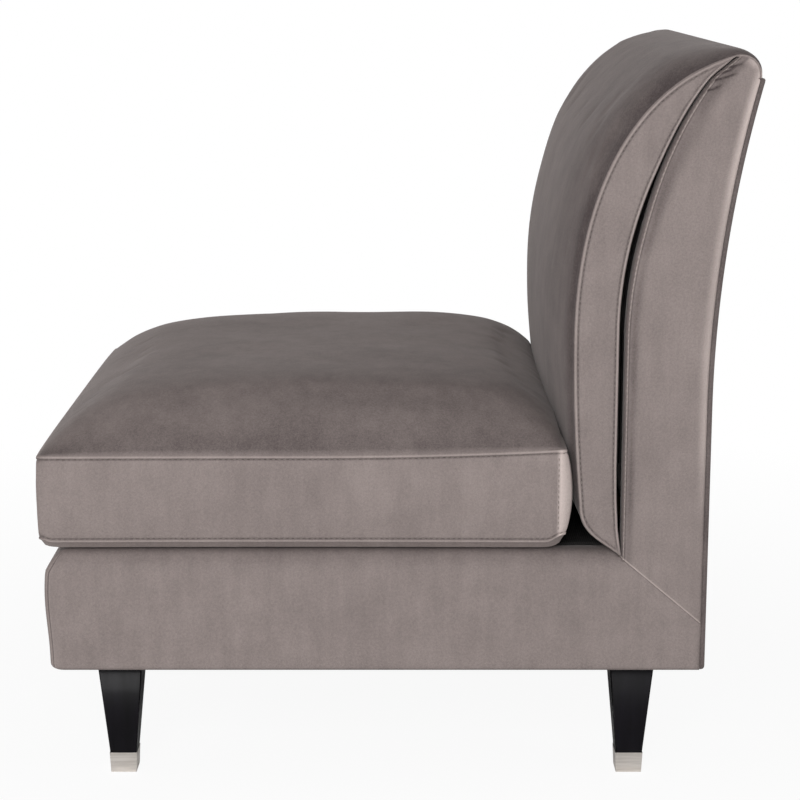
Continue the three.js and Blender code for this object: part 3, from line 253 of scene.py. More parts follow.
@dataclass(frozen=True)
class TopStitch:
    """A seam with its allowance sewn down beside it: a raised band, then a groove with the stitches."""

    band: float = 5.5
    lift: float = 0.9
    groove: float = 0.8
    pitch: float = 6.4
    near_slope: float = 1.6  # from the seam up to the band's height
    far_slope: float = 1.8  # and from there down to the groove
    groove_width: float = 2.4
    ridge: float = 1.2  # from the seam to where the painted highlight on the raised band is strongest
    ridge_width: float = 1.9
    ridge_highlight: float = 0.7
    seam_line: float = 1.2
    stitch_line: float = 1.5
    # painted shade in the groove with the stitches
    groove_shade: float = 0.9

    @property
    def steps(self) -> list[float]:
        """Distances from the seam that its shape needs rows at."""
        band = self.band
        return [0.7, 1.6, 2.8, band - 1.4, band - 0.7, band, band + 0.7, band + 1.6, band + 3.2, band + 6.0]

    def rise(self, gap: float) -> float:
        """Returns how far the cloth stands out at gap from the seam."""
        fall = ease((gap - self.band + self.far_slope) / self.far_slope)
        crest = ease(gap / self.near_slope) * (1.0 - fall)
        return self.lift * crest - self.groove * bell(gap - self.band, self.groove_width)

    def painted_highlight(self, gap: float) -> float:
        """Returns how much painted highlight the raised band gets, for the light that its ridge catches."""
        return self.ridge_highlight * bell(gap - self.ridge, self.ridge_width)

    def painted_shade(self, gap: float) -> float:
        """Returns how much painted shade darkens the seam and the groove, for the shade that falls in them.
        """
        return max(bell(gap, self.seam_line), self.groove_shade * bell(gap - self.band, self.stitch_line))


def float_layer(bm: BMesh, name: str) -> BMLayerItem:
    """Returns the vertex layer of numbers called name, made if need be."""
    layers = bm.verts.layers.float
    return layers.get(name) or layers.new(name)


def shares(count: int) -> list[float]:
    """Returns the shares from 0 to 1 that divide a length into count equal steps."""
    return [step / count for step in range(count + 1)]


def weave(bm: BMesh, columns: Sequence, rows: Sequence, spot: Callable[..., Spot]) -> None:
    """Adds a woven surface to a mesh.

    Args:
        bm: the mesh that gets the surface.
        columns: what each line of corners along it stands for, such as a distance.
        rows: the same across it.
        spot: gives the spot where one of the columns meets one of the rows.
    """
    across, along = len(columns) - 1, len(rows) - 1
    # painted highlight and painted shade, which the velvet's material reads to lighten and darken its colour
    painted_highlight = float_layer(bm, "painted_highlight")
    painted_shade = float_layer(bm, "painted_shade")
    held = float_layer(bm, "held")
    grid = bmesh.ops.create_grid(bm, x_segments=across, y_segments=along, size=1.0)
    for vert in grid["verts"]:
        column, row = round((vert.co.x + 1.0) / 2.0 * across), round((vert.co.y + 1.0) / 2.0 * along)
        found = spot(columns[column], rows[row])
        vert.co = found.place * MM
        vert[painted_highlight] = found.painted_highlight
        vert[painted_shade] = found.painted_shade
        vert[held] = found.held


def add_object(name: str, bm: BMesh) -> Object:
    """Puts a mesh into the scene.

    Args:
        name: of the object and its mesh.
        bm: the mesh, in metres, which is freed.

    Returns:
        The new object.
    """
    mesh = bpy.data.meshes.new(name)
    bm.to_mesh(mesh)
    bm.free()
    made = bpy.data.objects.new(name, mesh)
    bpy.context.collection.objects.link(made)
    return made


def show(name: str, bm: BMesh, finish: Finish, body: str) -> Object:
    """Makes a smooth, finished piece that rides on a body.

    Args:
        name: of the piece.
        bm: its mesh, in metres, which is freed.
        finish: what it is covered in.
        body: the body of the chair that it rides on.

    Returns:
        The new object.
    """
    for face in bm.faces:
        face.smooth = True
    made = add_object(name, bm)
    made.data.materials.append(finish.material)
    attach(made, body)
    return made


def piece(name: str, bm: BMesh, finish: Finish, body: str, weld: float = WELD) -> Object:
    """Makes a piece of a closed form, with its faces outward.

    Args:
        name: of the piece.
        bm: its mesh, in metres, which is freed.
        finish: what it is covered in.
        body: the body of the chair that it rides on.
        weld: corners closer than this become one; 0 welds none.

    Returns:
        The new object.
    """
    if weld > 0.0:
        bmesh.ops.remove_doubles(bm, verts=bm.verts, dist=weld * MM)
    bmesh.ops.recalc_face_normals(bm, faces=bm.faces)
    return show(name, bm, finish, body)


def face_along(bm: BMesh, way: Vector | None) -> None:
    """Turns every face of an open sheet over if most of them look the wrong way.

    Args:
        bm: the mesh of the sheet.
        way: where it looks; None for one that looks out at both sides of the chair.
    """
    bmesh.ops.recalc_face_normals(bm, faces=bm.faces)
    toward = 0.0
    for face in bm.faces:
        aim = Vector((face.calc_center_median().x, 0.0, 0.0)) if way is None else way
        toward += face.normal.dot(aim) * face.calc_area()
    if toward < 0.0:
        bmesh.ops.reverse_faces(bm, faces=bm.faces)


def sheet_piece(name: str, bm: BMesh, way: Vector | None, body: str,
                finish: Finish = Finish.VELVET, wall: float = VELVET_WALL) -> Object:
    """Makes a piece of an open sheet, with its wall behind it.

    Args:
        name: of the piece.
        bm: the sheet, in metres, which is freed.
        way: where it looks; None for one that looks out at both sides of the chair.
        body: the body of the chair that it rides on.
        finish: what it is covered in.
        wall: its thickness.

    Returns:
        The new object.
    """
    bmesh.ops.remove_doubles(bm, verts=bm.verts, dist=WELD * MM)
    face_along(bm, way)
    made = show(name, bm, finish, body)
    thicken = made.modifiers.new("Wall", "SOLIDIFY")
    thicken.thickness = wall * MM
    thicken.offset = -1.0
    return made


def bevel(bm: BMesh, edges: Sequence[BMEdge], width: float, segments: int) -> None:
    """Rounds edges of bm by width, in so many segments."""
    bmesh.ops.bevel(bm, geom=edges, offset=width * MM, segments=segments, affect="EDGES",
                    profile=0.5, material=-1)


def copy_node(node: str) -> BMesh:
    """Copies the mesh of a carried-over part, with its triangles joined up again.

    Args:
        node: the name of the part.

    Returns:
        The copy, in metres.
    """
    flat_angle = math.radians(2.0)
    bm = bmesh.new()
    bm.from_mesh(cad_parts[node].data)
    bmesh.ops.remove_doubles(bm, verts=bm.verts, dist=WELD * MM)
    bmesh.ops.dissolve_limit(bm, angle_limit=flat_angle, verts=bm.verts, edges=bm.edges)
    return bm


class Swell:
    """How a filled cover moved from its cut shape, read anywhere near it, in metres."""

    def __init__(self, cut: Mesh | None = None, filled: Sequence[Vector] = (), cap: float = 0.0,
                 sink: float = 0.0) -> None:
        """Compares the cut shape with the filled one.

        Args:
            cut: the cover before it was filled, or None for one that isn't filled.
            filled: where its corners went.
            cap: the furthest that a corner may move, in millimetres.
            sink: the furthest that it may move inwards.
        """
        self.tree = None
        if cut is None:
            return
        cut.calc_loop_triangles()
        self.corners = [tuple(triangle.vertices) for triangle in cut.loop_triangles]
        self.start = [vert.co.copy() for vert in cut.vertices]
        self.end = []
        for vert, end in zip(cut.vertices, filled):
            way = end - vert.co
            inward = min(way.dot(vert.normal) + sink * MM, 0.0)
            way -= vert.normal * inward
            self.end.append(vert.co + way * min(1.0, cap * MM / max(way.length, TINY)))
        self.tree = BVHTree.FromPolygons(self.start, self.corners, all_triangles=True)

    def shift(self, bm: BMesh) -> None:
        """Moves every corner of a mesh as the cover near it moved.

        Args:
            bm: the mesh; its layer "held" says what stays in place.
        """
        if self.tree is None:
            return
        held = float_layer(bm, "held")
        for vert in bm.verts:
            near, _, index, _ = self.tree.find_nearest(vert.co)
            corners = self.corners[index]
            went = barycentric_transform(near, *(self.start[corner] for corner in corners),
                                         *(self.end[corner] for corner in corners))
            vert.co += (went - near) * (1.0 - vert[held])


@dataclass(frozen=True)
class Filling:
    """How a cover is filled, by cloth simulation, and how far a point of it may move out and in."""

    pressure: float = 4.0
    slack: float = 0.008
    cap: float = 5.0
    sink: float = 1.0
    frames: int = 20
    quality: int = 6
    mass: float = 0.3
    stretch_stiffness: float = 15.0
    shear_stiffness: float = 5.0
    bending_stiffness: float = 0.4

    def fill(self, bm: BMesh) -> Swell:
        """Fills a cover and returns how it moved.

        Args:
            bm: the cut shape, which is freed; its layer "held" says what stays in place.
        """
        bmesh.ops.remove_doubles(bm, verts=bm.verts, dist=SEAM_WELD * MM)
        bmesh.ops.recalc_face_normals(bm, faces=bm.faces)
        cover = add_object("cut_cover", bm)
        mesh = cover.data
        cloth = self.as_cloth(cover)
        finer = cover.modifiers.new("Finer", "SUBSURF")
        finer.levels = finer.render_levels = 1
        cloth.show_viewport = False
        cut = self.evaluated(cover)
        cloth.show_viewport = True
        for number in range(1, self.frames + 1):
            bpy.context.scene.frame_set(number)
        filled = self.evaluated(cover)
        swell = Swell(cut, [vert.co.copy() for vert in filled.vertices], self.cap, self.sink)
        bpy.context.scene.frame_set(1)
        bpy.data.objects.remove(cover)
        for spare in (cut, filled, mesh):
            bpy.data.meshes.remove(spare)
        return swell

    def as_cloth(self, cover: Object) -> Modifier:
        """Makes a cut cover cloth under pressure, held where its layer "held" says.

        Args:
            cover: the cover.

        Returns:
            Its cloth modifier.
        """
        group = cover.vertex_groups.new(name="held")
        for index, item in enumerate(cover.data.attributes["held"].data):
            if item.value > 0.0:
                group.add([index], item.value, "REPLACE")
        cloth = cover.modifiers.new("Cloth", "CLOTH")
        cloth.point_cache.frame_end = self.frames
        settings = cloth.settings
        settings.quality = self.quality
        settings.mass = self.mass
        settings.tension_stiffness = settings.compression_stiffness = self.stretch_stiffness
        settings.shear_stiffness = self.shear_stiffness
        settings.bending_stiffness = self.bending_stiffness
        settings.use_pressure = True
        settings.uniform_pressure_force = self.pressure
        settings.shrink_min = -self.slack
        settings.vertex_group_mass = group.name
        settings.effector_weights.gravity = 0.0
        cloth.collision_settings.use_collision = False
        return cloth

    def evaluated(self, cover: Object) -> Mesh:
        """Returns the cover as its modifiers leave it, as a mesh of its own."""
        graph = bpy.context.evaluated_depsgraph_get()
        return bpy.data.meshes.new_from_object(cover.evaluated_get(graph))


def sew(name: str, on: Object, line: Sequence[Vector], pitch: float, body: str) -> None:
    """Sews a row of stitches along a line on a piece.

    Args:
        name: of the row of stitches.
        on: the piece that is sewn.
        line: points along the row, in millimetres, on or near the piece.
        pitch: from one stitch to the next.
        body: the body that the piece rides on.
    """
    surface = BVHTree.FromObject(on, bpy.context.evaluated_depsgraph_get())
    track = Track(line)
    count = max(1, round(track.length / pitch))
    bm = bmesh.new()
    for index in range(count):
        share = (index + 0.5) / count
        place, normal, _, _ = surface.find_nearest(track.at(share) * MM)
        along = track.slope(share)
        side = normal.cross(along).normalized()
        along = side.cross(normal)
        turn = Matrix((along, side, normal)).transposed().to_4x4()
        size = Matrix.Diagonal((STITCH_LENGTH * pitch * MM, STITCH_WIDTH * MM, STITCH_HEIGHT * MM, 1.0))
        matrix = Matrix.Translation(place + normal * STITCH_PROUD * MM) @ turn @ size
        bmesh.ops.create_icosphere(bm, subdivisions=1, radius=1.0, matrix=matrix)
    stitches = piece(name, bm, Finish.THREAD, body, weld=0.0)


# The shape of the back


@dataclass(frozen=True)
class BackShape:
    """The lines of the back as its side shows them."""

    front_y: float = 262.8
    front_bend_z: float = 530.0
    front_radius: float = 488.3
    front_lean: float = 8.5
    front_lean_z: float = 640.0
    rear_y: float = 361.0
    rear_bend_z: float = 450.0
    rear_radius: float = 1470.3
    front_top: Vector = Vector((0.0, 378.0, 845.0))
    rear_top_z: float = 823.0
    edge_return: float = 2.4
    full_lean_z: float = 830.0
    upright_z: float = 822.0  # where a lean starts to fade
    fade: float = 23.0
    cell: float = 10.0

    def front(self, z: float) -> float:
        """Returns how far back the front edge of a side panel is at height z."""
        bend = bend_out(z - self.front_bend_z, self.front_radius)
        return self.front_y + bend - self.lean(z, self.front_lean, self.front_lean_z)

    def lean(self, z: float, reach: float, start: float) -> float:
        """Returns how far the upper part of an edge leans forward at height z: by reach, from start up."""
        full = ease((z - start) / (self.full_lean_z - start))
        return reach * full * (1.0 - ease((z - self.upright_z) / self.fade))

    def rear(self, z: float) -> float:
        """Returns how far back the outside of the back is at height z."""
        return self.rear_y + bend_out(z - self.rear_bend_z, self.rear_radius)

    def front_line(self) -> list[Vector]:
        """Returns points up the front edge of a side panel, from the mitre to the top."""
        heights = [MITRE_FRONT.z + rise for rise in spread(self.front_top.z - MITRE_FRONT.z, self.cell)]
        return [Vector((0.0, self.front(z), z)) for z in heights]

    def rear_line(self) -> list[Vector]:
        """Returns points up the rear edge of a side panel, from the mitre to the top."""
        heights = [MITRE_REAR.z + rise for rise in spread(self.rear_top_z - MITRE_REAR.z, self.cell)]
        return [Vector((0.0, self.rear(z) - self.edge_return, z)) for z in heights]

    def top_line(self) -> list[Vector]:
        """Returns points over the top edge of a side panel, from its front to its rear."""
        end = Vector((0.0, self.rear(self.rear_top_z) - self.edge_return, self.rear_top_z))
        return curve([self.front_top, Vector((0.0, 390.0, 850.0)), Vector((0.0, 407.5, 842.0)), end])


BACK = BackShape()


# Upholstery of the back


@dataclass
class SidePanel:
    """The plain velvet panel on one side of the back, turned in round its front edge."""

    side: int  # 1 at the near side, -1 at the far one
    name: str
    stitch: TopStitch = TopStitch(band=3.0, lift=0.6, groove=0.7)
    edge_radius: float = 2.2
    turn_in: float = 24.0
    turn_steps: int = 6
    cell: float = 3.0
    row: float = 4.2
    width: float = 100.0  # of the weave before it is fitted to the panel
    inset: float = 0.6  # behind the chair's widest line
    rear_drop: float = 1.2
    rear_slope: float = 4.5
    bulge: float = 1.0
    pleat_width: float = 2.6
    pleat_bow: float = 1.0
    pleat_fold: float = 2.0
    fine_rows: int = 75  # rows near the top, where the pleats are
    pleats: tuple[tuple[float, float, float, float], ...] = (
        (347.0, 809.5, 364.0, 816.5), (352.5, 820.4, 381.0, 829.5), (358.0, 827.5, 378.0, 835.5),
        (366.0, 834.5, 388.0, 840.5), (372.0, 842.5, 383.0, 846.5),
    )

    def lines(self) -> Edges:
        """Traces the front, rear, mitre and top edges of the panel.

        Returns:
            The four edges, the first two from foot to top, the others from front to rear.
        """
        rear_foot = Vector((0.0, MITRE_REAR.y - BACK.edge_return, MITRE_REAR.z + BACK.edge_return * 0.8))
        mitre = Track([MITRE_FRONT, rear_foot])
        rear = Track([rear_foot, *BACK.rear_line()[1:]])
        return Track(BACK.front_line()), rear, mitre, Track(BACK.top_line())

    def patch(self, u: float, v: float, lines: Edges) -> Vector:
        """Returns a point of the panel, spanned evenly between its four edges.

        Args:
            u: share from front to rear.
            v: share from foot to top.
            lines: the edges.

        Returns:
            The point there.
        """
        front, rear, mitre, top = lines
        across = front.at(v).lerp(rear.at(v), u)
        along = mitre.at(u).lerp(top.at(u), v)
        corners = front.at(0.0).lerp(rear.at(0.0), u).lerp(front.at(1.0).lerp(rear.at(1.0), u), v)
        return across + along - corners

    def pleat_depth(self, place: Vector) -> float:
        """Returns how deep the small pleats at the upper front edge are.

        Args:
            place: a point of the panel.

        Returns:
            The depth there, from 0 to 1.
        """
        depth = 0.0
        for start_y, start_z, end_y, end_z in self.pleats:
            start, end = Vector((0.0, start_y, start_z)), Vector((0.0, end_y, end_z))
            way = (end - start).normalized()
            share = (place - start).dot(way) / (end - start).length
            bow = self.pleat_bow * math.sin(math.pi * clamp(share))
            off = (place - start).dot(Vector((0.0, -way.z, way.y))) + bow
            ends = ease((share + 0.15) / 0.2) * (1.0 - ease((share - 0.65) / 0.5))
            depth += bell(off, self.pleat_width) * ends
        return clamp(depth)

    def edge_highlight(self, gap: float, share: float, length: float, rear_gap: float) -> float:
        """Returns how much painted highlight the panel gets on its ridges and along its edges.

        Args:
            gap: from the front edge, along the cloth.
            share: from the foot, 0, to the top, 1.
            length: of the front edge.
            rear_gap: from the rear edge.

        Returns:
            How much painted highlight there is.
        """
        # Painted highlight: lighter up the panel and in a band along its rear edge, as under a light from
        # behind, and along the ridges at the mitre and the top edge.
        light = ease((share - 0.1) / 0.3) + 0.8 * ease((share - 0.7) / 0.25)
        rear_band = 1.1 * bell(rear_gap - 2.0, 17.0) * light
        mitre_ridge = 1.5 * bell(share * length - 1.4, 1.8)
        top_band = 1.1 * bell((1.0 - share) * length, 11.0) * ease((gap - 8.0) / 10.0)
        return max(self.stitch.painted_highlight(max(gap, 0.0)), rear_band, mitre_ridge, top_band)

    def spot(self, gap: float, share: float, lines: Edges) -> Spot:
        """Returns one spot of the panel.

        Args:
            gap: from the front edge, along the cloth; below 0 on the part that is turned in.
            share: from the foot, 0, to the top, 1.
            lines: the panel's edges.

        Returns:
            The spot there.
        """
        front, rear = lines[:2]
        width = (rear.at(share) - front.at(share)).length
        fixed = self.stitch.steps[-1]
        depth, reach = rolled(gap + self.edge_radius * QUARTER, self.edge_radius)
        if gap > fixed:
            start_reach = self.edge_radius + fixed
            reach = start_reach + (gap - fixed) / (self.width - fixed) * (width - start_reach)
        place = self.patch(clamp(reach / width), share, lines)
        on_face = gap >= 0.0
        pleat = self.pleat_depth(place) if on_face else 0.0
        rear_gap = width - reach
        edge = ease(1.0 - rear_gap / self.rear_slope) * self.rear_drop
        swell = self.bulge * math.sin(math.pi * clamp(reach / width)) * bell(share - 0.45, 0.6)
        inset = depth + edge - self.stitch.rise(max(gap, 0.0)) * 0.8 + self.pleat_fold * pleat - swell
        x = self.side * (HALF - self.inset - inset)
        painted_highlight = self.edge_highlight(gap, share, front.length, rear_gap)
        # Painted shade in a band just behind the front edge, as in a dip of the cloth that the shape doesn't
        # have; painted shade too in the seam, the pleats and the line at the rear edge.
        edge_shade_width = 9.0 + 9.0 * bell(share - 0.82, 0.2)
        dent = 0.9 + 0.6 * noise.noise(Vector((0.0, 3.3, place.z * 0.02)))
        dent = dent * bell(reach - 11.0, edge_shade_width)
        seam = self.stitch.painted_shade(gap) if on_face else 0.8
        painted_shade = max(seam, 1.3 * pleat, 0.6 * dent * (gap > 3.5), 2.0 * bell(rear_gap, 1.6))
        return Spot(Vector((x, place.y, place.z)), painted_highlight, painted_shade)

    def build(self) -> None:
        """Builds the panel with its turned-in edge."""
        lines = self.lines()
        length = lines[0].length
        near = [self.edge_radius * 0.5, self.edge_radius, *self.stitch.steps]
        turn = [-self.turn_in + self.turn_in * step / self.turn_steps for step in range(self.turn_steps)]
        columns = [*turn, -4.0, *spread(self.width, self.cell, near, (1.0, 2.5, 5.0, 8.0))]
        rows = spread(length, self.row, (1.0, 3.0), tuple(step * 0.9 for step in range(self.fine_rows)))
        bm = bmesh.new()
        weave(bm, columns, rows, lambda gap, height: self.spot(gap, height / length, lines))
        panel = sheet_piece(self.name, bm, Vector((self.side, 0.0, 0.0)), "frame")
        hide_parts(f"side_panel_{'left' if self.side > 0 else 'right'}")
        self.dress(panel, lines)

    def dress(self, panel: Object, lines: Edges) -> None:
        """Sews the stitches beside the panel's front edge.

        Args:
            panel: the panel.
            lines: its edges.
        """
        line = []
        for share in shares(60):
            width = (lines[1].at(share) - lines[0].at(share)).length
            place = self.patch(self.stitch.band / width, share, lines)
            line.append(Vector((self.side * HALF, place.y, place.z)))
        sew(f"{self.name}_stitches", panel, line, self.stitch.pitch, "frame")


@dataclass(frozen=True)
class Station:
    """One row of the inner back: the edges of its border, the way it goes on and its half width."""

    t: float
    front: Vector
    rear: Vector
    way: Vector
    half: float


@dataclass
class InnerBack:
    """The crescent pad sewn to the back: a crowned front panel that runs on over the top, and two borders."""

    half_width: float = 344.0
    top_half_width: float = 344.6
    border_width: float = 48.0
    rises: tuple[tuple[float, float], ...] = (
        (0.0, 0.0), (0.1, 7.5), (0.2, 14.5), (0.35, 21.5), (0.5, 23.5), (0.65, 22.5), (0.8, 23.0),
        (0.9, 22.5), (0.96, 14.5), (1.0, 6.8), (1.02, 4.4), (1.07, 3.0), (1.2, 2.6),
    )
    tip: tuple[float, float] = (381.0, 848.5)
    rear_foot: tuple[tuple[float, float], ...] = (
        (262.6, 280.5), (258.6, 310.0), (256.6, 345.0), (255.8, 380.0),
    )
    rear_bend_z: float = 540.0
    rear_radius: float = 451.5
    rear_end_z: float = 846.0
    rear_lean: float = 6.0
    rear_lean_z: float = 715.0
    over_drop: float = 3.6  # in front of the outside of the back, where the cover ends
    swell: float = 2.2
    swell_least: float = 0.4
    flap: float = 2.0
    # painted shade on the front panel, darker towards the near side and along the borders, standing for the
    # shade the face lies in
    face_shade: float = 0.72
    behind_inset: float = 1.6
    thin: float = 4.0  # a border no deeper than this has no shape of its own
    thin_fade: float = 10.0
    tip_held: float = 0.86  # the share of the seam's length from which the filling moves nothing
    tip_fade: float = 0.07
    stitch: TopStitch = TopStitch(band=4.2, lift=0.8, groove=0.8)
    filling: Filling = Filling(pressure=3.0, slack=0.006, cap=3.5)
    cell: float = 6.5
    row: float = 4.4
    cut_cell: float = 9.5  # of the form that is filled
    cut_border: float = 9.0

    def front_seam(self) -> Track:
        """Traces the seam along the front of the border.

        Returns:
            The seam, from foot to tip.
        """
        foot = ((262.3, 277.5), (234.0, 299.0), (214.0, 305.0), (214.0, 340.0))
        belly = ((214.0, 340.0), (205.0, 435.0), (205.0, 530.0))
        shoulder = ((205.0, 530.0), (205.0, 724.0), (284.0, 824.3), self.tip)
        points = []
        for controls, steps in ((foot, 24), (belly, 24), (shoulder, 60)):
            found = curve([Vector((0.0, y, z)) for y, z in controls], steps)
            points += found[1:] if points else found
        return Track(points)

    def rear_seam(self) -> Track:
        """Traces the seam along the rear of the border.

        Returns:
            The seam, from foot to tip.
        """
        points = [Vector((0.0, y, z)) for y, z in self.rear_foot]
        for rise in spread(self.rear_end_z - self.rear_bend_z, 8.0):
            z = self.rear_bend_z + rise
            lean = BACK.lean(z, self.rear_lean, self.rear_lean_z)
            y = self.rear_foot[-1][0] + bend_out(rise, self.rear_radius) - lean
            points.append(Vector((0.0, y, z)))
        return Track(points)

    def over_line(self) -> Track:
        """Traces the edge of the front panel from the tip on over the top, down to the outside back.

        Returns:
            The edge, from front to rear.
        """
        end = Vector((0.0, BACK.rear(BACK.rear_top_z) - self.over_drop, BACK.rear_top_z))
        return Track(curve([Vector((0.0, *self.tip)), Vector((0.0, 391.5, 849.8)),
                            Vector((0.0, 407.5, 842.5)), end]))

    def stations(self, row: float, ends: Sequence[float], steps: int) -> list[Station]:
        """Places the rows of the inner back.

        Args:
            row: the longest step between two rows up to the tip.
            ends: distances from the tip that get a row of their own.
            steps: how many rows run over the top.

        Returns:
            The rows, from foot to rear.
        """
        front, rear, over = self.front_seam(), self.rear_seam(), self.over_line()
        found = []
        for reach in spread(front.length, row, (), ends):
            t = reach / front.length
            way = front.slope(t) if t < 1.0 else (front.slope(1.0) + over.slope(0.0)).normalized()
            found.append(Station(t, front.at(t), rear.at(t), way, self.half_width))
        for step in range(1, steps + 1):
            part = step / steps
            base, way = over.at(part), over.slope(part)
            under = base + Vector((0.0, way.z, -way.y)) * self.flap
            part_t = 1.0 + part * over.length / front.length
            found.append(Station(part_t, base, under, way, self.top_half_width))
        return found

    def rise_at(self, t: float) -> float:
        """Reads how far the middle of the front panel stands out.

        Args:
            t: share of the seam's length; above 1 over the top.

        Returns:
            The distance from the seam's own line.
        """
        for (start, low), (end, high) in zip(self.rises, self.rises[1:]):
            if t <= end:
                return low + (high - low) * (t - start) / (end - start)
        return self.rises[-1][1]

    def crown_at(self, share: float, t: float) -> float:
        """Works out how far the front panel stands out, smoothed along the seam.

        Args:
            share: of the half width, from -1 to 1.
            t: share of the seam's length.

        Returns:
            The distance from the seam's own line.
        """
        near = 0.03 if t < 0.9 else 0.008
        rise = (self.rise_at(max(t - near, 0.0)) + 2.0 * self.rise_at(t) + self.rise_at(t + near)) / 4.0
        power = 3.0 + 7.0 * ease((t - 0.6) / 0.36) + 34.0 * ease((t - 0.96) / 0.06)
        return rise * (1.0 - abs(share) ** power)

    def shaped(self, depth: float) -> float:
        """Returns how much of its own shape a border of that depth has."""
        return clamp((depth - self.thin) / self.thin_fade)

    def tip_hold(self, t: float) -> float:
        """Returns how firmly the cover is held near its tip."""
        return ease((t - self.tip_held) / self.tip_fade)

    def panel(self, x: float, station: Station) -> Spot:
        """Returns one spot of the front panel.

        Args:
            x: from its far edge.
            station: the row that it is on.

        Returns:
            The spot there.
        """
        share = x / self.half_width - 1.0
        gap = self.half_width * (1.0 - abs(share))
        t, way = station.t, station.way
        rise = self.crown_at(share, t)
        if t < 1.0:
            rise += 0.7 * bell(gap - 2.6, 3.5) * ease((1.0 - t) / 0.1)
        place = station.front + Vector((0.0, -way.z, way.y)) * rise
        across = share * station.half
        folds = noise.noise(Vector((across * 0.008, t * 4.0, 0.4))) * ease(gap / 60.0) * ease(t / 0.15)
        creep = noise.noise(Vector((across * 0.03, t * 9.0, 7.4))) * ease(gap / 30.0) * bell(t - 0.12, 0.16)
        place.y += (0.9 * folds + 1.3 * creep) * (1.0 - ease((t - 0.85) / 0.1))
        # Painted highlight along the seam; painted shade over the face, darker towards the near side and the
        # borders, more over the top and at the seam.
        painted_highlight = SEAM_HIGHLIGHT * bell(gap, 1.3) if t < 1.0 else 0.0
        toward = 0.6 + 0.4 * ease((share + 1.0) / 1.6) + 0.5 * bell(gap, 45.0)
        face_shade = self.face_shade * toward * ease(gap / 1.4)
        painted_shade = max(face_shade, SEAM_SHADE * bell(gap, 1.0) if t < 1.0 else 0.6)
        held = max(bell(gap, 14.0), bell(t, 0.02), self.tip_hold(t))
        return Spot(Vector((across, place.y, place.z)), painted_highlight, painted_shade, held)

    def border(self, reach: float, station: Station, hand: float) -> Spot:
        """Returns one spot of a border.

        Args:
            reach: from the front seam towards the rear one, of the border's full width.
            station: the row that it is on.
            hand: 1 at the near side, -1 at the far one.

        Returns:
            The spot there.
        """
        depth = (station.rear - station.front).length
        part = reach / self.border_width
        gap_front, gap_rear = part * depth, (1.0 - part) * depth
        place = station.front.lerp(station.rear, part)
        fade = self.shaped(depth)
        wave = 0.8 * noise.noise(Vector((place.y * 0.02, place.z * 0.012, hand)))
        out = (self.swell_least + self.swell + wave) * max(math.sin(math.pi * part), 0.0) ** 0.7 * fade
        out += (self.stitch.rise(gap_front) + self.stitch.rise(gap_rear)) * fade
        out -= self.behind_inset * (1.0 - ease(gap_rear / 2.0)) * fade
        # painted highlight on the raised band at the front seam and along the rear seam; painted shade in
        # both seams and their grooves
        painted_highlight = max(0.8 * self.stitch.painted_highlight(gap_front), 0.9 * bell(gap_rear - 1.4, 2.6)) * fade
        painted_shade = max(self.stitch.painted_shade(gap_front), self.stitch.painted_shade(gap_rear)) * fade
        if part == 0.0:
            painted_highlight, painted_shade = SEAM_HIGHLIGHT, SEAM_SHADE
        held = max(bell(part, 0.25), bell(1.0 - part, 0.25), self.tip_hold(station.t))
        x = hand * (station.half + out * min(part * 12.0, 1.0))
        return Spot(Vector((x, place.y, place.z)), painted_highlight, painted_shade, held)

    def behind(self, share: float, station: Station) -> Spot:
        """Returns one spot of the pad's rear, or of the underside of its flap.

        Args:
            share: of its half width, from -1 to 1.
            station: the row that it is on.

        Returns:
            The spot there.
        """
        depth = (station.rear - station.front).length
        x = share * (station.half - self.behind_inset * self.shaped(depth))
        return Spot(Vector((x, station.rear.y, station.rear.z)), held=1.0)

    def form(self, face: list[float], side: list[float], stations: list[Station]) -> BMesh:
        """Returns the closed form of the inner back.

        Args:
            face: distances across the front panel.
            side: distances across a border, of its full width.
            stations: the rows.

        Returns:
            The form, its seams not yet welded.
        """
        reach = [x / self.half_width - 1.0 for x in face]
        bm = bmesh.new()
        weave(bm, face, stations, self.panel)
        for hand in (1.0, -1.0):
            weave(bm, side, stations, lambda part, station: self.border(part, station, hand))
        weave(bm, reach, stations, self.behind)
        for end in (stations[0], stations[-1]):
            weave(bm, face, (True, False), lambda x, ahead: self.closing(x, end, ahead))
        return bm

    def closing(self, x: float, station: Station, ahead: bool) -> Spot:
        """Returns one spot of the narrow strip that closes the form at its first or last station.

        Args:
            x: from the far edge.
            station: the first or last row.
            ahead: whether the spot is on the front panel.

        Returns:
            The spot there.
        """
        if ahead:
            return Spot(self.panel(x, station).place, held=1.0)
        return self.behind(x / self.half_width - 1.0, station)

    def build(self) -> None:
        """Builds the pad with the cover over the top of the back."""
        width = 2.0 * self.half_width
        side = spread(self.border_width, self.cut_border)
        cut = self.form(spread(width, self.cut_cell), side, self.stations(self.cut_cell, (4.0,), 3))
        swell = self.filling.fill(cut)
        edges = (0.6, 1.4, 2.6, 4.5, 7.0, 10.0, 15.0)
        side = spread(self.border_width, 4.0, self.stitch.steps, self.stitch.steps)
        face = spread(width, self.cell, edges, edges)
        bm = self.form(face, side, self.stations(self.row, (1.5, 3.0, 6.0), 16))
        swell.shift(bm)
        pad = piece("inner_back", bm, Finish.VELVET, "frame", weld=SEAM_WELD)
        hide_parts("back_pad_cover", "back_pad_foam", "top_cover")
        self.dress(pad)

    def dress(self, pad: Object) -> None:
        """Sews the stitches beside both seams at each side of the pad.

        Args:
            pad: the pad.
        """
        steps = 80
        first, last = 4, 76  # of the steps along a seam that have stitches
        front, rear = self.front_seam(), self.rear_seam()
        for side, label in ((1, "near"), (-1, "far")):
            for ahead, behind, seam in ((front, rear, "front"), (rear, front, "rear")):
                line = []
                for step in range(first, last + 1):
                    start, end = ahead.at(step / steps), behind.at(step / steps)
                    place = start + (end - start).normalized() * self.stitch.band
                    line.append(Vector((side * self.half_width, place.y, place.z)))
                sew(f"inner_back_{seam}_stitches_{label}", pad, line, self.stitch.pitch, "frame")


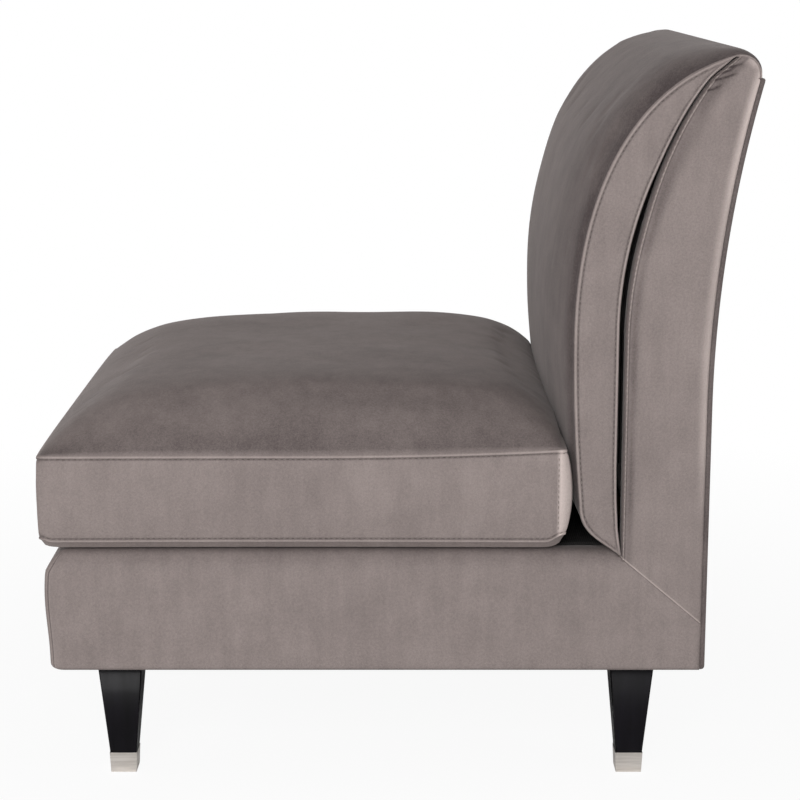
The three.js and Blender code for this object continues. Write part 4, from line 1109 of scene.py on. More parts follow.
@dataclass
class BackFill:
    """What fills the back behind its covers: the foam in a black lining, and the fibre under the top."""

    edge: float = 8.0
    sharp: float = math.radians(40.0)
    half_width: float = 338.0
    end_rounding: float = 2.0
    section: tuple[tuple[float, float], ...] = (
        (379.0, 832.6), (379.0, 841.0), (381.5, 844.6), (386.0, 845.6), (392.0, 844.6), (398.0, 840.6),
        (401.0, 836.6), (401.8, 832.6),
    )

    def build_foam(self) -> None:
        """Builds the foam in its lining."""
        bm = copy_node("back_foam")
        edges = [edge for edge in bm.edges if edge.is_manifold and edge.calc_face_angle(0.0) > self.sharp]
        bevel(bm, edges, self.edge, 3)
        lined = piece("back_foam_lined", bm, Finish.LINING, "frame")
        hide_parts("back_foam")

    def build_fibre(self) -> None:
        """Builds the roll of fibre under the top."""
        bm = bmesh.new()
        ring = [bm.verts.new(Vector((-self.half_width, y, z)) * MM) for y, z in self.section]
        grown = bmesh.ops.extrude_face_region(bm, geom=[bm.faces.new(ring)])
        moved = [item for item in grown["geom"] if isinstance(item, BMVert)]
        bmesh.ops.translate(bm, verts=moved, vec=Vector((2.0 * self.half_width * MM, 0.0, 0.0)))
        ends = [edge for edge in bm.edges if abs(edge.verts[0].co.x - edge.verts[1].co.x) < MM]
        bevel(bm, ends, self.end_rounding, 2)
        fibre = piece("top_fibre", bm, Finish.FIBRE, "frame")
        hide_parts("top_padding")

    def build(self) -> None:
        """Builds both fills."""
        self.build_foam()
        self.build_fibre()


@dataclass
class OutsideBack:
    """The panel behind the back, whose sides roll forward over the side panels."""

    roll: float = 4.0
    forward: float = 2.2
    proud: float = 2.4
    side_proud: float = 0.7
    foot_roll: float = 5.0
    foot_gap: float = 1.0  # above the base's own foot
    hem: float = 16.0
    corner: float = 7.0
    top_radius: float = 3.5
    sag: float = 1.2
    cell: float = 9.0

    @property
    def arc(self) -> float:
        """The length of cloth in the roll at a side."""
        return self.roll * QUARTER

    @property
    def across(self) -> float:
        """The width of the cloth."""
        return 2.0 * (HALF - self.roll + self.arc + self.forward)

    @property
    def along(self) -> float:
        """The height of the cloth, its hem included."""
        height = BACK.rear_top_z - BASE_BOTTOM_Z - self.foot_gap
        return self.hem + self.foot_roll * QUARTER + height - self.foot_roll

    def spot(self, reach_in: float, run_up: float) -> Spot:
        """Returns one spot of the panel.

        Args:
            reach_in: from the cloth's far edge.
            run_up: from the edge of its hem.

        Returns:
            The spot there.
        """
        run = min(reach_in, self.across - reach_in)
        depth, reach = rolled(run - self.forward, self.roll)
        foot_depth, rise = rolled(run_up - self.hem, self.foot_roll)
        z = BASE_BOTTOM_Z + self.foot_gap + rise
        near_foot = self.corner - (z - BASE_BOTTOM_Z - self.foot_gap)
        inset = bend_out(near_foot, self.corner) if near_foot > 0.0 else 0.0
        side = -1.0 if reach_in < self.across / 2.0 else 1.0
        top_gap = self.along - run_up
        y = BACK.rear(z) + self.proud - bend_out(self.top_radius - top_gap, self.top_radius)
        y -= max(depth, foot_depth)
        sag = self.sag * noise.noise(Vector((reach * 0.006, z * 0.006, 3.7)))
        y += sag * ease(reach / 60.0) * ease((z - BASE_BOTTOM_Z) / 80.0) * ease(top_gap / 60.0)
        x = side * (HALF + self.side_proud - reach - inset * bell(reach, 60.0))
        on_face = run - self.forward - self.arc
        # Painted highlight where the side roll meets the face; painted shade over the roll, along the cloth's
        # edges and at the top and foot.
        painted_highlight = 0.3 * bell(on_face, 5.0)
        shade = 0.8 * (1.0 - ease(on_face / 6.0))
        painted_shade = max(shade, bell(run, 3.0), bell(top_gap, 3.0), bell(run_up - self.hem, 4.0) * 0.5)
        return Spot(Vector((x, y, z)), painted_highlight, painted_shade)

    def build(self) -> None:
        """Builds the panel with its rolled sides and turned-under foot."""
        ahead, arc, foot_arc = self.forward, self.arc, self.foot_roll * QUARTER
        fine = (*(ahead + arc * share for share in shares(5)), ahead + arc + 2.0, ahead + arc + 5.0)
        columns = spread(self.across, self.cell, fine, fine)
        feet = (*(self.hem + foot_arc * share for share in shares(4)), self.hem + foot_arc + 3.0)
        rows = spread(self.along, self.cell, feet, (0.5, 1.2, 2.5, 5.0))
        bm = bmesh.new()
        weave(bm, columns, rows, self.spot)
        panel = sheet_piece("outside_back", bm, Vector((0.0, 1.0, 0.0)), "frame")
        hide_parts("outside_back_cover")


# Upholstery of the base and the deck


@dataclass
class BaseCover:
    """The velvet round the front and sides of the base, rolled over its top and turned under its foot."""

    top_radius: float = 20.0
    foot_radius: float = 6.5
    roll_in: float = 34.0
    hem: float = 18.0
    corner: float = 18.0
    least_corner: float = 0.6
    rear_y: float = 357.4
    swell: float = 1.0
    wave: float = 0.9
    belly: float = 3.4
    belly_z: float = 232.0
    belly_reach: float = 72.0
    cell: float = 6.0
    corner_cell: float = 2.2
    seam_columns: tuple[float, ...] = (-1.8, -0.9, 0.0, 0.9, 1.8)
    foot_steps: int = 8
    top_steps: int = 12

    @property
    def upright(self) -> tuple[float, float]:
        """The heights between which the cover's face is upright."""
        return BASE_BOTTOM_Z + self.foot_radius, BASE_TOP_Z - self.top_radius

    def profile(self) -> list[tuple[float, float]]:
        """Draws the section of the cover, from its hem to the deck.

        Returns:
            The section's points, as insets and heights.
        """
        foot, top = self.foot_radius, self.top_radius
        low, high = self.upright
        points = [(self.hem, BASE_BOTTOM_Z + 1.0), (self.hem / 2.0 + foot / 2.0, BASE_BOTTOM_Z + 0.6)]
        for angle in (QUARTER * share for share in shares(self.foot_steps)):
            points.append((foot * (1.0 - math.sin(angle)), BASE_BOTTOM_Z + foot * (1.0 - math.cos(angle))))
        for rise in spread(high - low, self.cell)[1:]:
            points.append((0.0, low + rise))
        for angle in (QUARTER * share for share in shares(self.top_steps)[1:]):
            points.append((top * (1.0 - math.cos(angle)), high + top * math.sin(angle)))
        points += [((top + self.roll_in) / 2.0, BASE_TOP_Z), (self.roll_in, BASE_TOP_Z - 0.4)]
        return points

    def plan(self) -> list[tuple[int, float]]:
        """Lays out the columns of the cover along its path: a side, a corner, the front, a corner, a side.

        Returns:
            Each column as a part of the path, 0 to 4, and a share of that part.
        """
        side = self.rear_y - BASE_FRONT_Y - self.corner
        front = 2.0 * (HALF - self.corner)
        turn = self.corner * QUARTER
        columns = []
        for index, length in enumerate((side, turn, front, turn, side)):
            at_corner = index in (1, 3)
            middle = [length / 2.0 + gap for gap in self.seam_columns] if at_corner else []
            steps = spread(length, self.corner_cell if at_corner else self.cell, middle)
            columns += [(index, step / length) for step in steps[(0 if index == 0 else 1):]]
        return columns

    def ground(self, part: int, share: float, inset: float) -> tuple[Vector, Vector]:
        """Traces the path of the cover on the ground.

        Args:
            part: of the path, 0 to 4.
            share: of that part.
            inset: how far the path is moved in.

        Returns:
            The point there, and the way out of the base.
        """
        radius = max(self.corner - inset, self.least_corner)
        half, front = HALF - inset, BASE_FRONT_Y + inset
        hand = 1.0 if part < 2 else -1.0
        if part in (0, 4):
            run = share if part == 0 else 1.0 - share
            y = self.rear_y + (front + radius - self.rear_y) * run
            return Vector((hand * half, y)), Vector((hand, 0.0))
        if part == 2:
            return Vector(((half - radius) * (1.0 - 2.0 * share), front)), Vector((0.0, -1.0))
        angle = QUARTER * (share if part == 1 else 1.0 - share)
        way = Vector((hand * math.cos(angle), -math.sin(angle)))
        return Vector((hand * (half - radius), front + radius)) + way * radius, way

    def spot(self, part: int, share: float, inset: float, z: float) -> Spot:
        """Returns one spot of the cover.

        Args:
            part: of its path, 0 to 4.
            share: of that part.
            inset: of the section there.
            z: its height.

        Returns:
            The spot there.
        """
        low, high = self.upright
        place, way = self.ground(part, share, inset)
        x, y = place
        rise = clamp((z - low) / (high - low))
        face = math.sin(math.pi * rise) if low < z < high else 0.0
        out = face * (self.swell + self.wave * noise.noise(Vector((x * 0.007, y * 0.007, z * 0.009))))
        ahead = bell(z - self.belly_z, self.belly_reach)
        ahead = ahead - 1.5 * ease((z - 252.0) / 28.0) - 0.8 * ease((z - 254.0) / 14.0)
        ahead *= self.belly * bell(max(y - BASE_FRONT_Y - inset, 0.0), 60.0)
        corner_seam = abs(share - 0.5) * self.corner * QUARTER
        seam = corner_seam if part in (1, 3) else math.inf
        dent = 0.7 * bell(seam, 1.8) * (inset < self.top_radius)
        x, y = place + way * (out - dent) - Vector((0.0, ahead))
        # Painted highlight on the top roll and beside each corner seam; painted shade along the corner seams,
        # over the upper roll and along the foot, where shade falls.
        painted_highlight = max(0.12 * bell(inset - 6.0, 8.0) * (z > high), 0.4 * bell(seam - 2.4, 2.0))
        under = 0.35 * ease((z - 258.0) / 18.0)
        painted_shade = max(0.9 * bell(seam, 1.6), under, 0.4 * bell(z - BASE_BOTTOM_Z, 4.0))
        return Spot(Vector((x, y, z)), painted_highlight, painted_shade)

    def build(self) -> None:
        """Builds the cover and trims it along the seams with the side panels."""
        bm = bmesh.new()
        weave(bm, self.plan(), self.profile(), lambda column, row: self.spot(*column, *row))
        along = (MITRE_REAR - MITRE_FRONT).normalized()
        bmesh.ops.bisect_plane(
            bm, geom=[*bm.verts, *bm.edges, *bm.faces], dist=0.01 * MM, plane_co=MITRE_FRONT * MM,
            plane_no=Vector((0.0, -along.z, along.y)), clear_outer=True,
        )
        cover = sheet_piece("base_cover", bm, None, "frame")
        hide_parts("base_cover_front", "base_cover_left", "base_cover_right")


@dataclass
class BasePadding:
    """The padding round the rails, thinned under the rounded front edge of its cover."""

    thinned: float = 6.0
    from_z: float = 246.0
    to_z: float = 268.0
    front_reach: float = 30.0  # from the front of the base to where nothing is thinned
    front_fade: float = 12.0
    side_from: float = 318.0
    side_fade: float = 14.0
    side_share: float = 0.6
    longest: float = 60.0  # a longer edge is cut in two first

    def build(self) -> None:
        """Builds the padding."""
        bm = copy_node("base_padding")
        long_edges = [edge for edge in bm.edges if edge.calc_length() > self.longest * MM]
        bmesh.ops.subdivide_edges(bm, edges=long_edges, cuts=1)
        for vert in bm.verts:
            x, y, z = vert.co / MM
            near = ease((BASE_FRONT_Y + self.front_reach - y) / self.front_fade)
            near *= ease((z - self.from_z) / (self.to_z - self.from_z))
            side = self.thinned * self.side_share * near * ease((abs(x) - self.side_from) / self.side_fade)
            vert.co.y += self.thinned * near * MM
            vert.co.x -= math.copysign(side * MM, x)
        padding = piece("base_padding_thinned", bm, Finish.FOAM, "frame")
        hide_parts("base_padding")


@dataclass
class Deck:
    """The lining over the deck under the cushion, and the dust cover under the base."""

    cell: float = 14.0
    sag: float = 0.6
    ripple: float = 0.5

    def flat_sheet(self, name: str, node: str, way: Vector, sag: float) -> Object:
        """Builds one sheet of lining in the place of a node.

        Args:
            name: of the sheet.
            node: that it stands for.
            way: where it looks, up or down.
            sag: how far its middle hangs below its edges.

        Returns:
            The sheet.
        """
        low, high = (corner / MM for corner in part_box(node))
        columns = math.ceil((high.x - low.x) / self.cell)
        rows = math.ceil((high.y - low.y) / self.cell)

        def spot(u: float, v: float) -> Spot:
            """Returns one spot of the sheet.

            Args:
                u: share of its width.
                v: share of its depth.

            Returns:
                The spot there.
            """
            inward = (math.sin(math.pi * u), math.sin(math.pi * v))
            z = high.z if way.z > 0.0 else low.z
            place = Vector((low.x + (high.x - low.x) * u, low.y + (high.y - low.y) * v, z))
            dip = sag * inward[0] * inward[1]
            ripple = self.ripple * noise.noise(place * 0.02) * inward[0] * inward[1]
            return Spot(place - Vector((0.0, 0.0, dip + ripple)))

        bm = bmesh.new()
        weave(bm, shares(columns), shares(rows), spot)
        made = sheet_piece(name, bm, way, "frame", Finish.LINING, LINING_WALL)
        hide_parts(node)
        return made

    def build(self) -> None:
        deck = self.flat_sheet("deck_lining", "deck_cover", Vector((0.0, 0.0, 1.0)), self.sag)
        dust = self.flat_sheet("dust_sheet", "dust_cover", Vector((0.0, 0.0, -1.0)), 0.0)


# The loose seat cushion


@dataclass
class SeatCushion:
    """The loose box cushion: a crowned top, a border with a stitched seam at each edge, and an underside."""

    half_width: float = 340.6
    half_depth: float = 301.0
    front_y: float = -407.6
    rear_y: float = 197.5
    lower_z: float = 292.3
    upper_z: float = 395.0
    rear_rise: float = 8.0
    crown: float = 71.2
    side_dome: tuple[float, float] = (8.0, 1.04)
    front_dome: tuple[float, float] = (3.4, 0.76)
    rear_dome: tuple[float, float] = (4.0, 0.5)
    under_dome: tuple[float, float] = (40.0, 1.0)
    dip: float = 0.034
    dip_at: float = -0.33
    dip_reach: float = 0.42
    sag: float = 10.0
    clearance: float = 0.35  # above the deck
    bulge: float = 3.4
    pull: float = 3.0
    push: float = 2.0
    # painted shade over the top, darker towards the near side and at its edge, standing for the shade the
    # upward face lies in
    face_shade: float = 0.5
    corner: float = 0.002
    corner_lift: float = 9.0
    corner_reach: float = 6.0
    seam_hold: float = 14.0  # from a seam to where the filling moves the cloth freely
    on_seam: float = 0.01
    slot_half: float = 250.5  # of the slot for the zip
    slot_height: float = 4.0
    slot_slope: float = 2.2
    across: int = 148
    along: int = 130
    row: float = 6.0
    cut_rows: int = 11  # of the border of the form that is filled
    stitch: TopStitch = TopStitch(band=4.4, lift=0.9, groove=0.9)
    corner_stitch: TopStitch = TopStitch(band=7.0)
    filling: Filling = Filling(pressure=4.0, slack=0.006, cap=4.0)

    @property
    def height(self) -> float:
        """The height of the border."""
        return self.upper_z - self.lower_z

    def dome(self, share: float, shape: tuple[float, float]) -> float:
        """Returns how high a crown is at share of its half width, by how flat and how steep it is."""
        flat, steep = shape
        return max(1.0 - abs(share) ** flat, 0.0) ** steep

    def side_gap(self, u: float) -> float:
        """Returns how far the share u of the half width is from the nearer side."""
        return (1.0 - abs(u)) * self.half_width

    def end_gap(self, v: float) -> float:
        """Returns how far the share v of the half depth is from the nearer of the front and the rear."""
        return (1.0 - abs(v)) * self.half_depth

    def plan(self, u: float, v: float) -> tuple[float, float]:
        """Places a spot as it is seen from above.

        Args:
            u: share of the half width.
            v: share of the half depth.

        Returns:
            Its x and y.
        """
        middle, depth = (self.front_y + self.rear_y) / 2.0, (self.rear_y - self.front_y) / 2.0
        corner = self.corner * abs(u * v) ** 14
        side = self.pull / self.half_width * (1.0 - v * v) * abs(u) ** 6
        front = -self.push / depth * (1.0 - u ** 4) * abs(v) ** 6 if v < 0.0 else 0.0
        return self.half_width * u * (1.0 - corner - side), middle + depth * v * (1.0 - corner - front)

    def top_seam_z(self, v: float) -> float:
        """Returns the height of the upper seam."""
        return self.upper_z + self.rear_rise * max(v, 0.0) ** 2

    def top(self, u: float, v: float) -> Spot:
        """Returns one spot of the crowned top.

        Args:
            u: share of the half width.
            v: share of the half depth.

        Returns:
            The spot there.
        """
        x, y = self.plan(u, v)
        across = self.dome(u, self.side_dome)
        along = self.dome(v, self.front_dome if v < 0.0 else self.rear_dome)
        along *= 1.0 - self.dip * bell(v - self.dip_at, self.dip_reach)
        edge = min(self.side_gap(u), self.end_gap(v))
        wave = 1.4 * noise.noise(Vector((x * 0.011, y * 0.011, 1.3))) * ease(edge / 50.0)
        pucker = noise.noise(Vector((x * 0.05, y * 0.012, 5.1)))
        pucker *= bell(1.0 - v, 0.16) * ease((1.0 - v) / 0.03)
        z = self.top_seam_z(v) + self.crown * across * along + wave + 1.6 * pucker
        held = bell(edge, self.seam_hold)
        if edge < self.on_seam:
            return Spot(Vector((x, y, z)), SEAM_HIGHLIGHT, SEAM_SHADE, held)
        # painted shade over the whole top, for the shade that it lies in
        face_shade = self.face_shade * (0.62 + 0.38 * ease((u + 0.2) / 1.1) + 0.5 * bell(1.0 - u, 0.12))
        return Spot(Vector((x, y, z)), 0.0, face_shade, held)

    def foot_z(self, u: float, v: float) -> float:
        """Returns the height of the lower seam, which lifts a little at its corners.

        Args:
            u: share of the half width.
            v: share of the half depth.

        Returns:
            The height there.
        """
        gap = self.side_gap(u)
        rear, front = bell(gap, 60.0) * ease((v - 0.93) / 0.07), bell(gap, 14.0) * ease((-v - 0.955) / 0.045)
        return self.lower_z + self.corner_lift * (rear + 0.4 * front)

    def underside(self, u: float, v: float) -> Spot:
        """Returns one spot of the underside, which lies on the deck.

        Args:
            u: share of the half width.
            v: share of the half depth.

        Returns:
            The spot there.
        """
        x, y = self.plan(u, v)
        swell = math.sqrt(self.dome(u, self.under_dome) * self.dome(v, self.under_dome))
        z = self.foot_z(u, v)
        z -= (self.sag + z - self.lower_z) * swell
        edge = min(self.side_gap(u), self.end_gap(v))
        painted_shade = SEAM_SHADE if edge < self.on_seam else 0.0
        place = Vector((x, y, max(z, BASE_TOP_Z + self.clearance)))
        # painted highlight along the underside's edge, for light thrown up from the floor
        return Spot(place, SEAM_HIGHLIGHT * bell(edge, 16.0), painted_shade, held=1.0)

    def rim(self, column: int) -> tuple[float, float]:
        """Follows the rim of the cushion, from the front's far end round the near side.

        Args:
            column: of the border's weave.

        Returns:
            The shares of the half width and half depth there.
        """
        a, b = self.across, self.along
        column %= 2 * (a + b)
        if column < a:
            return -1.0 + 2.0 * column / a, -1.0
        if column < a + b:
            return 1.0, -1.0 + 2.0 * (column - a) / b
        if column < 2 * a + b:
            return 1.0 - 2.0 * (column - a - b) / a, 1.0
        return -1.0, 1.0 - 2.0 * (column - 2 * a - b) / b

    def slot(self, x: float, z: float) -> tuple[float, float]:
        """Reads the slot for the zip in the rear of the border.

        Args:
            x: across the cushion.
            z: height.

        Returns:
            How far in the cloth is turned there, from 0 to 1, and how firmly it is held.
        """
        off = abs(z - ZIP_Z)
        upright = 1.0 - ease((off - self.slot_height) / self.slot_slope)
        turned = upright * (1.0 - ease((abs(x) - self.slot_half) / 4.0))
        return turned, bell(off, 18.0) * (abs(x) < 275.0)

    def border(self, column: int, rise: float) -> Spot:
        """Returns one spot of the border.

        Args:
            column: of its weave, round the cushion.
            rise: share of its height.

        Returns:
            The spot there.
        """
        u, v = self.rim(column)
        x, y = self.plan(u, v)
        before, after = self.plan(*self.rim(column - 1)), self.plan(*self.rim(column + 1))
        way = Vector((after[0] - before[0], after[1] - before[1], 0.0)).normalized()
        out = Vector((way.y, -way.x, 0.0))
        foot = self.foot_z(u, v)
        height = self.top_seam_z(v) - foot
        z = foot + height * rise
        above, below = (1.0 - rise) * height, rise * height
        seam_gap = min(above, below)
        side_gap, rear_gap = self.side_gap(u), (1.0 - v) * self.half_depth
        arch = math.sin(math.pi * rise)
        swell = self.bulge * max(arch, 0.0) ** 0.4
        swell += self.stitch.rise(above) + self.stitch.rise(below)
        swell += 0.9 * noise.noise(Vector((x * 0.012, y * 0.012, rise * 1.4))) * arch
        # Painted highlight on the stitched bands, on the strip at each rear corner and along the rear near
        # the sides; painted shade in the seams and grooves.
        painted_highlight = max(self.stitch.painted_highlight(above), self.stitch.painted_highlight(below))
        painted_shade = max(self.stitch.painted_shade(above), self.stitch.painted_shade(below))
        held = max(bell(seam_gap, self.seam_hold), 0.7 * bell(min(2.0 - abs(u) - abs(v), 1.0), 0.06))
        if abs(u) == 1.0 and v > 0.9:
            swell += self.corner_stitch.rise(rear_gap) * max(arch, 0.0) ** 0.3
            painted_shade = max(painted_shade, self.corner_stitch.painted_shade(rear_gap))
            painted_highlight = max(painted_highlight, self.corner_stitch.painted_highlight(rear_gap), 1.7 * (1.0 - ease((rear_gap - 5.0) / 2.0)))
            held = max(held, 1.0 - ease(rear_gap / 4.0))
        # painted shade at the front corners, where the cloth pinches
        if v < -0.9:
            pinch_shade = bell(math.hypot((1.0 + v) * self.half_depth, side_gap), 9.0)
            painted_shade = max(painted_shade, 0.8 * pinch_shade * bell(seam_gap, 12.0))
        if v == 1.0:
            painted_highlight = max(painted_highlight, 1.7 * bell(side_gap, 10.0))
            swell += self.corner_reach * bell(side_gap, 70.0) * max(arch, 0.0) ** 0.7
            turned, firm = self.slot(x, z)
            swell += (ZIP_TAPE_Y - 0.4 - self.rear_y - swell) * turned
            held = max(held, firm)
        if rise in (0.0, 1.0):
            painted_highlight, painted_shade = SEAM_HIGHLIGHT, SEAM_SHADE
        return Spot(Vector((x, y, z)) + out * swell, painted_highlight, painted_shade, held)

    def form(self, across: int, along: int, rises: list[float]) -> BMesh:
        """Returns the closed form of the cushion.

        Args:
            across: how many faces the top is from side to side.
            along: how many faces it is from front to rear.
            rises: the border's rows as shares of its height.

        Returns:
            The form, its seams not yet welded.
        """
        self.across, self.along = across, along
        us = [2.0 * share - 1.0 for share in shares(across)]
        vs = [2.0 * share - 1.0 for share in shares(along)]
        bm = bmesh.new()
        weave(bm, us, vs, self.top)
        weave(bm, us, vs, self.underside)
        weave(bm, range(2 * (across + along) + 1), rises, self.border)
        return bm

    def build(self) -> None:
        """Builds the cushion's cover as one closed form, filled and then sewn."""
        across, along = self.across, self.along
        swell = self.filling.fill(self.form(across // 2, along // 2, shares(self.cut_rows)))
        edges = (self.slot_height, 4.6, 5.3, self.slot_height + self.slot_slope, 8.0)
        slot = [ZIP_Z - self.lower_z + gap for gap in (*(-edge for edge in edges[::-1]), 0.0, *edges)]
        rows = spread(self.height, self.row, self.stitch.steps + slot, self.stitch.steps)
        bm = self.form(across, along, [reach / self.height for reach in rows])
        swell.shift(bm)
        cushion = piece("seat_cushion_cover", bm, Finish.VELVET, "seat_cushion", weld=SEAM_WELD)
        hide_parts("seat_cover", "seat_fibre_wrap")
        self.dress(cushion)

    def dress(self, cushion: Object) -> None:
        """Sews the stitches beside the seams.

        Args:
            cushion: the cover.
        """
        around = range(0, 2 * (self.across + self.along) + 1, 2)
        band = self.stitch.band / self.height
        for seam, rise in (("upper", 1.0 - band), ("lower", band)):
            line = [self.border(column, rise).place for column in around]
            sew(f"seat_{seam}_stitches", cushion, line, self.stitch.pitch, "seat_cushion")
        step = self.corner_stitch.band / self.half_depth * self.along / 2.0
        rises = [0.08 + 0.84 * share for share in shares(20)]
        corners = (("near", self.across + self.along - step), ("far", 2 * self.across + self.along + step))
        for label, start in corners:
            before, after = math.floor(start), math.ceil(start)
            line = [self.border(before, rise).place.lerp(self.border(after, rise).place, start % 1.0)
                    for rise in rises]
            sew(f"seat_corner_stitches_{label}", cushion, line, self.corner_stitch.pitch, "seat_cushion")


@dataclass
class Zip:
    """The zip in the cushion's rear border: two tapes, a row of teeth and the slider's puller."""

    half_length: float = 250.0
    tape_height: float = 26.0
    tape_rows: int = 26
    tape_columns: int = 100
    tape_inset: float = 0.8
    tape_bend: float = 5.0  # inward, beyond the slot in the cover
    bend_from: float = 4.4
    bend_reach: float = 3.5
    tooth_pitch: float = 2.4
    tooth_size: Vector = Vector((1.5, 1.8, 3.2))
    tooth_offset: float = 0.7  # above and below the middle by turns
    end_gap: float = 5.0  # from an end of the chain to the first tooth
    puller_size: Vector = Vector((5.4, 0.9, 19.0))
    puller_drop: float = 9.0
    puller_inset: float = 0.2

    def block(self, bm: BMesh, middle: Vector, size: Vector) -> list[BMVert]:
        """Adds a block.

        Args:
            bm: the mesh that gets it.
            middle: its middle.
            size: its width, depth and height.

        Returns:
            Its corners.
        """
        matrix = Matrix.Translation(middle * MM) @ Matrix.Diagonal((*(size * MM), 1.0))
        return bmesh.ops.create_cube(bm, size=1.0, matrix=matrix)["verts"]

    def build_tapes(self) -> None:
        """Builds the two tapes as one sheet, whose edges bend inward behind the cover."""
        low, high = (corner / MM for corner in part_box("zip_tape"))

        def spot(u: float, v: float) -> Spot:
            """Returns one spot of the tapes.

            Args:
                u: share of their length.
                v: share of their height, both tapes together.

            Returns:
                The spot there.
            """
            off = self.tape_height * (v - 0.5)
            bend = self.tape_bend * ease((abs(off) - self.bend_from) / self.bend_reach)
            return Spot(Vector((low.x + (high.x - low.x) * u, low.y + self.tape_inset - bend, ZIP_Z + off)))

        bm = bmesh.new()
        weave(bm, shares(self.tape_columns), shares(self.tape_rows), spot)
        rearward = Vector((0.0, 1.0, 0.0))
        tape = sheet_piece("zip_tapes", bm, rearward, "seat_cushion", Finish.LINING, ZIP_TAPE_WALL)
        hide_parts("zip_tape")

    def build_teeth(self) -> None:
        """Builds the row of teeth along the middle of the tapes."""
        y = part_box("zip_tape")[1].y / MM
        bm = bmesh.new()
        for index in range(int(2.0 * (self.half_length - self.end_gap) / self.tooth_pitch)):
            x = -self.half_length + self.end_gap + self.tooth_pitch * (index + 0.5)
            offset = self.tooth_offset if index % 2 else -self.tooth_offset
            self.block(bm, Vector((x, y, ZIP_Z + offset)), self.tooth_size)
        teeth = piece("zip_teeth", bm, Finish.NICKEL, "seat_cushion", weld=0.0)

    def build_puller(self) -> None:
        """Builds the puller that hangs from the slider."""
        low, high = (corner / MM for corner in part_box("zip_slider"))
        middle = Vector(((low.x + high.x) / 2.0, high.y - self.puller_inset, ZIP_Z - self.puller_drop))
        bm = bmesh.new()
        corners = self.block(bm, middle, self.puller_size)
        through = {edge for vert in corners for edge in vert.link_edges
                   if abs(edge.verts[0].co.y - edge.verts[1].co.y) > 0.5 * MM}
        bevel(bm, list(through), 2.0, 4)
        bevel(bm, list(bm.edges), 0.15, 1)
        puller = piece("zip_puller", bm, Finish.NICKEL, "zip_slider", weld=0.0)

    def build(self) -> None:
        """Builds the tapes with their teeth, and the puller."""
        self.build_tapes()
        self.build_teeth()
        self.build_puller()


# Legs


@dataclass
class Leg:
    """A tapered square leg in black lacquer with a nickel ferrule."""

    where: str
    top_size: float = 52.5
    foot_size: float = 31.6
    chamfer: float = 1.6
    sunk: float = 0.3  # of the post in its ferrule
    ferrule_height: float = 25.0
    ferrule_top: float = 32.8
    ferrule_foot: float = 30.4
    ferrule_wall: float = 1.0
    ferrule_depth: float = 4.0
    ferrule_rounding: float = 0.45

    def post(self, foot: Vector, low: tuple[float, float], high: tuple[float, float]) -> BMesh:
        """Makes a tapered square post.

        Args:
            foot: the middle of its foot.
            low: the height and size of its lower end.
            high: the height and size of its upper end.

        Returns:
            The post.
        """
        bm = bmesh.new()
        for vert in bmesh.ops.create_cube(bm, size=1.0)["verts"]:
            height, size = high if vert.co.z > 0.0 else low
            place = Vector((foot.x + vert.co.x * size, foot.y + vert.co.y * size, height))
            vert.co = place * MM
        return bm

    def build_post(self, foot: Vector, top_z: float) -> Object:
        """Builds the lacquered post.

        Args:
            foot: the middle of the leg's foot.
            top_z: the height of its top.

        Returns:
            The post.
        """
        bm = self.post(foot, (self.ferrule_height - self.sunk, self.foot_size), (top_z, self.top_size))
        upright = [edge for edge in bm.edges if abs(edge.verts[0].co.z - edge.verts[1].co.z) > 50.0 * MM]
        bevel(bm, upright, self.chamfer, 3)
        leg = piece(f"leg_post_{self.where}", bm, Finish.LACQUER, "frame")
        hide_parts(f"leg_{self.where}")
        return leg

    def build_ferrule(self, foot: Vector) -> Object:
        """Builds the ferrule, whose rim stands round the post.

        Args:
            foot: the middle of the leg's foot.

        Returns:
            The ferrule.
        """
        bm = self.post(foot, (0.0, self.ferrule_foot), (self.ferrule_height, self.ferrule_top))
        rim_z, foot_z = (self.ferrule_height - 1.0) * MM, 1.0 * MM
        top = [face for face in bm.faces if face.calc_center_median().z > rim_z]
        bmesh.ops.inset_region(bm, faces=top, thickness=self.ferrule_wall * MM, depth=0.0)
        bmesh.ops.translate(bm, verts=list({vert for face in top for vert in face.verts}),
                            vec=Vector((0.0, 0.0, -self.ferrule_depth * MM)))
        outer = []
        for edge in bm.edges:
            low, high = sorted(vert.co.z for vert in edge.verts)
            if high > rim_z or low < foot_z:
                outer.append(edge)
        bevel(bm, outer, self.ferrule_rounding, 2)
        ferrule = piece(f"ferrule_cap_{self.where}", bm, Finish.NICKEL, "frame")
        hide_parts(f"ferrule_{self.where}")
        return ferrule

    def build(self) -> None:
        """Builds the leg and its ferrule, with their flat faces shaded flat."""
        low, high = (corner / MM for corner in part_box(f"leg_{self.where}"))
        foot = Vector(((low.x + high.x) / 2.0, (low.y + high.y) / 2.0, 0.0))
        for made in (self.build_post(foot, high.z), self.build_ferrule(foot)):
            shade = made.modifiers.new("Normals", "WEIGHTED_NORMAL")
            shade.keep_sharp = False


# Materials


def hex_colour(code: str) -> tuple[float, float, float, float]:
    """Returns the linear colour of an sRGB code such as 807873."""
    channels = [int(code[index:index + 2], 16) / 255.0 for index in (0, 2, 4)]
    linear = [value / 12.92 if value <= 0.04045 else ((value + 0.055) / 1.055) ** 2.4 for value in channels]
    return linear[0], linear[1], linear[2], 1.0


class Surface(Enum):
    """The shader groups that the finishes share, by name."""

    PILE = "velvet_pile"
    THREADS = "plain_weave"
    GRAIN = "long_grain"


@dataclass(frozen=True)
class Look:
    """How one finish looks: its group, its two colours, its relief and the values of its own shader."""

    finish: Finish
    surface: Surface
    dark: str
    light: str
    bump: float
    shader: dict[str, object] = field(default_factory=dict)
    inputs: dict[str, object] = field(default_factory=dict)  # of the group; a word names an attribute


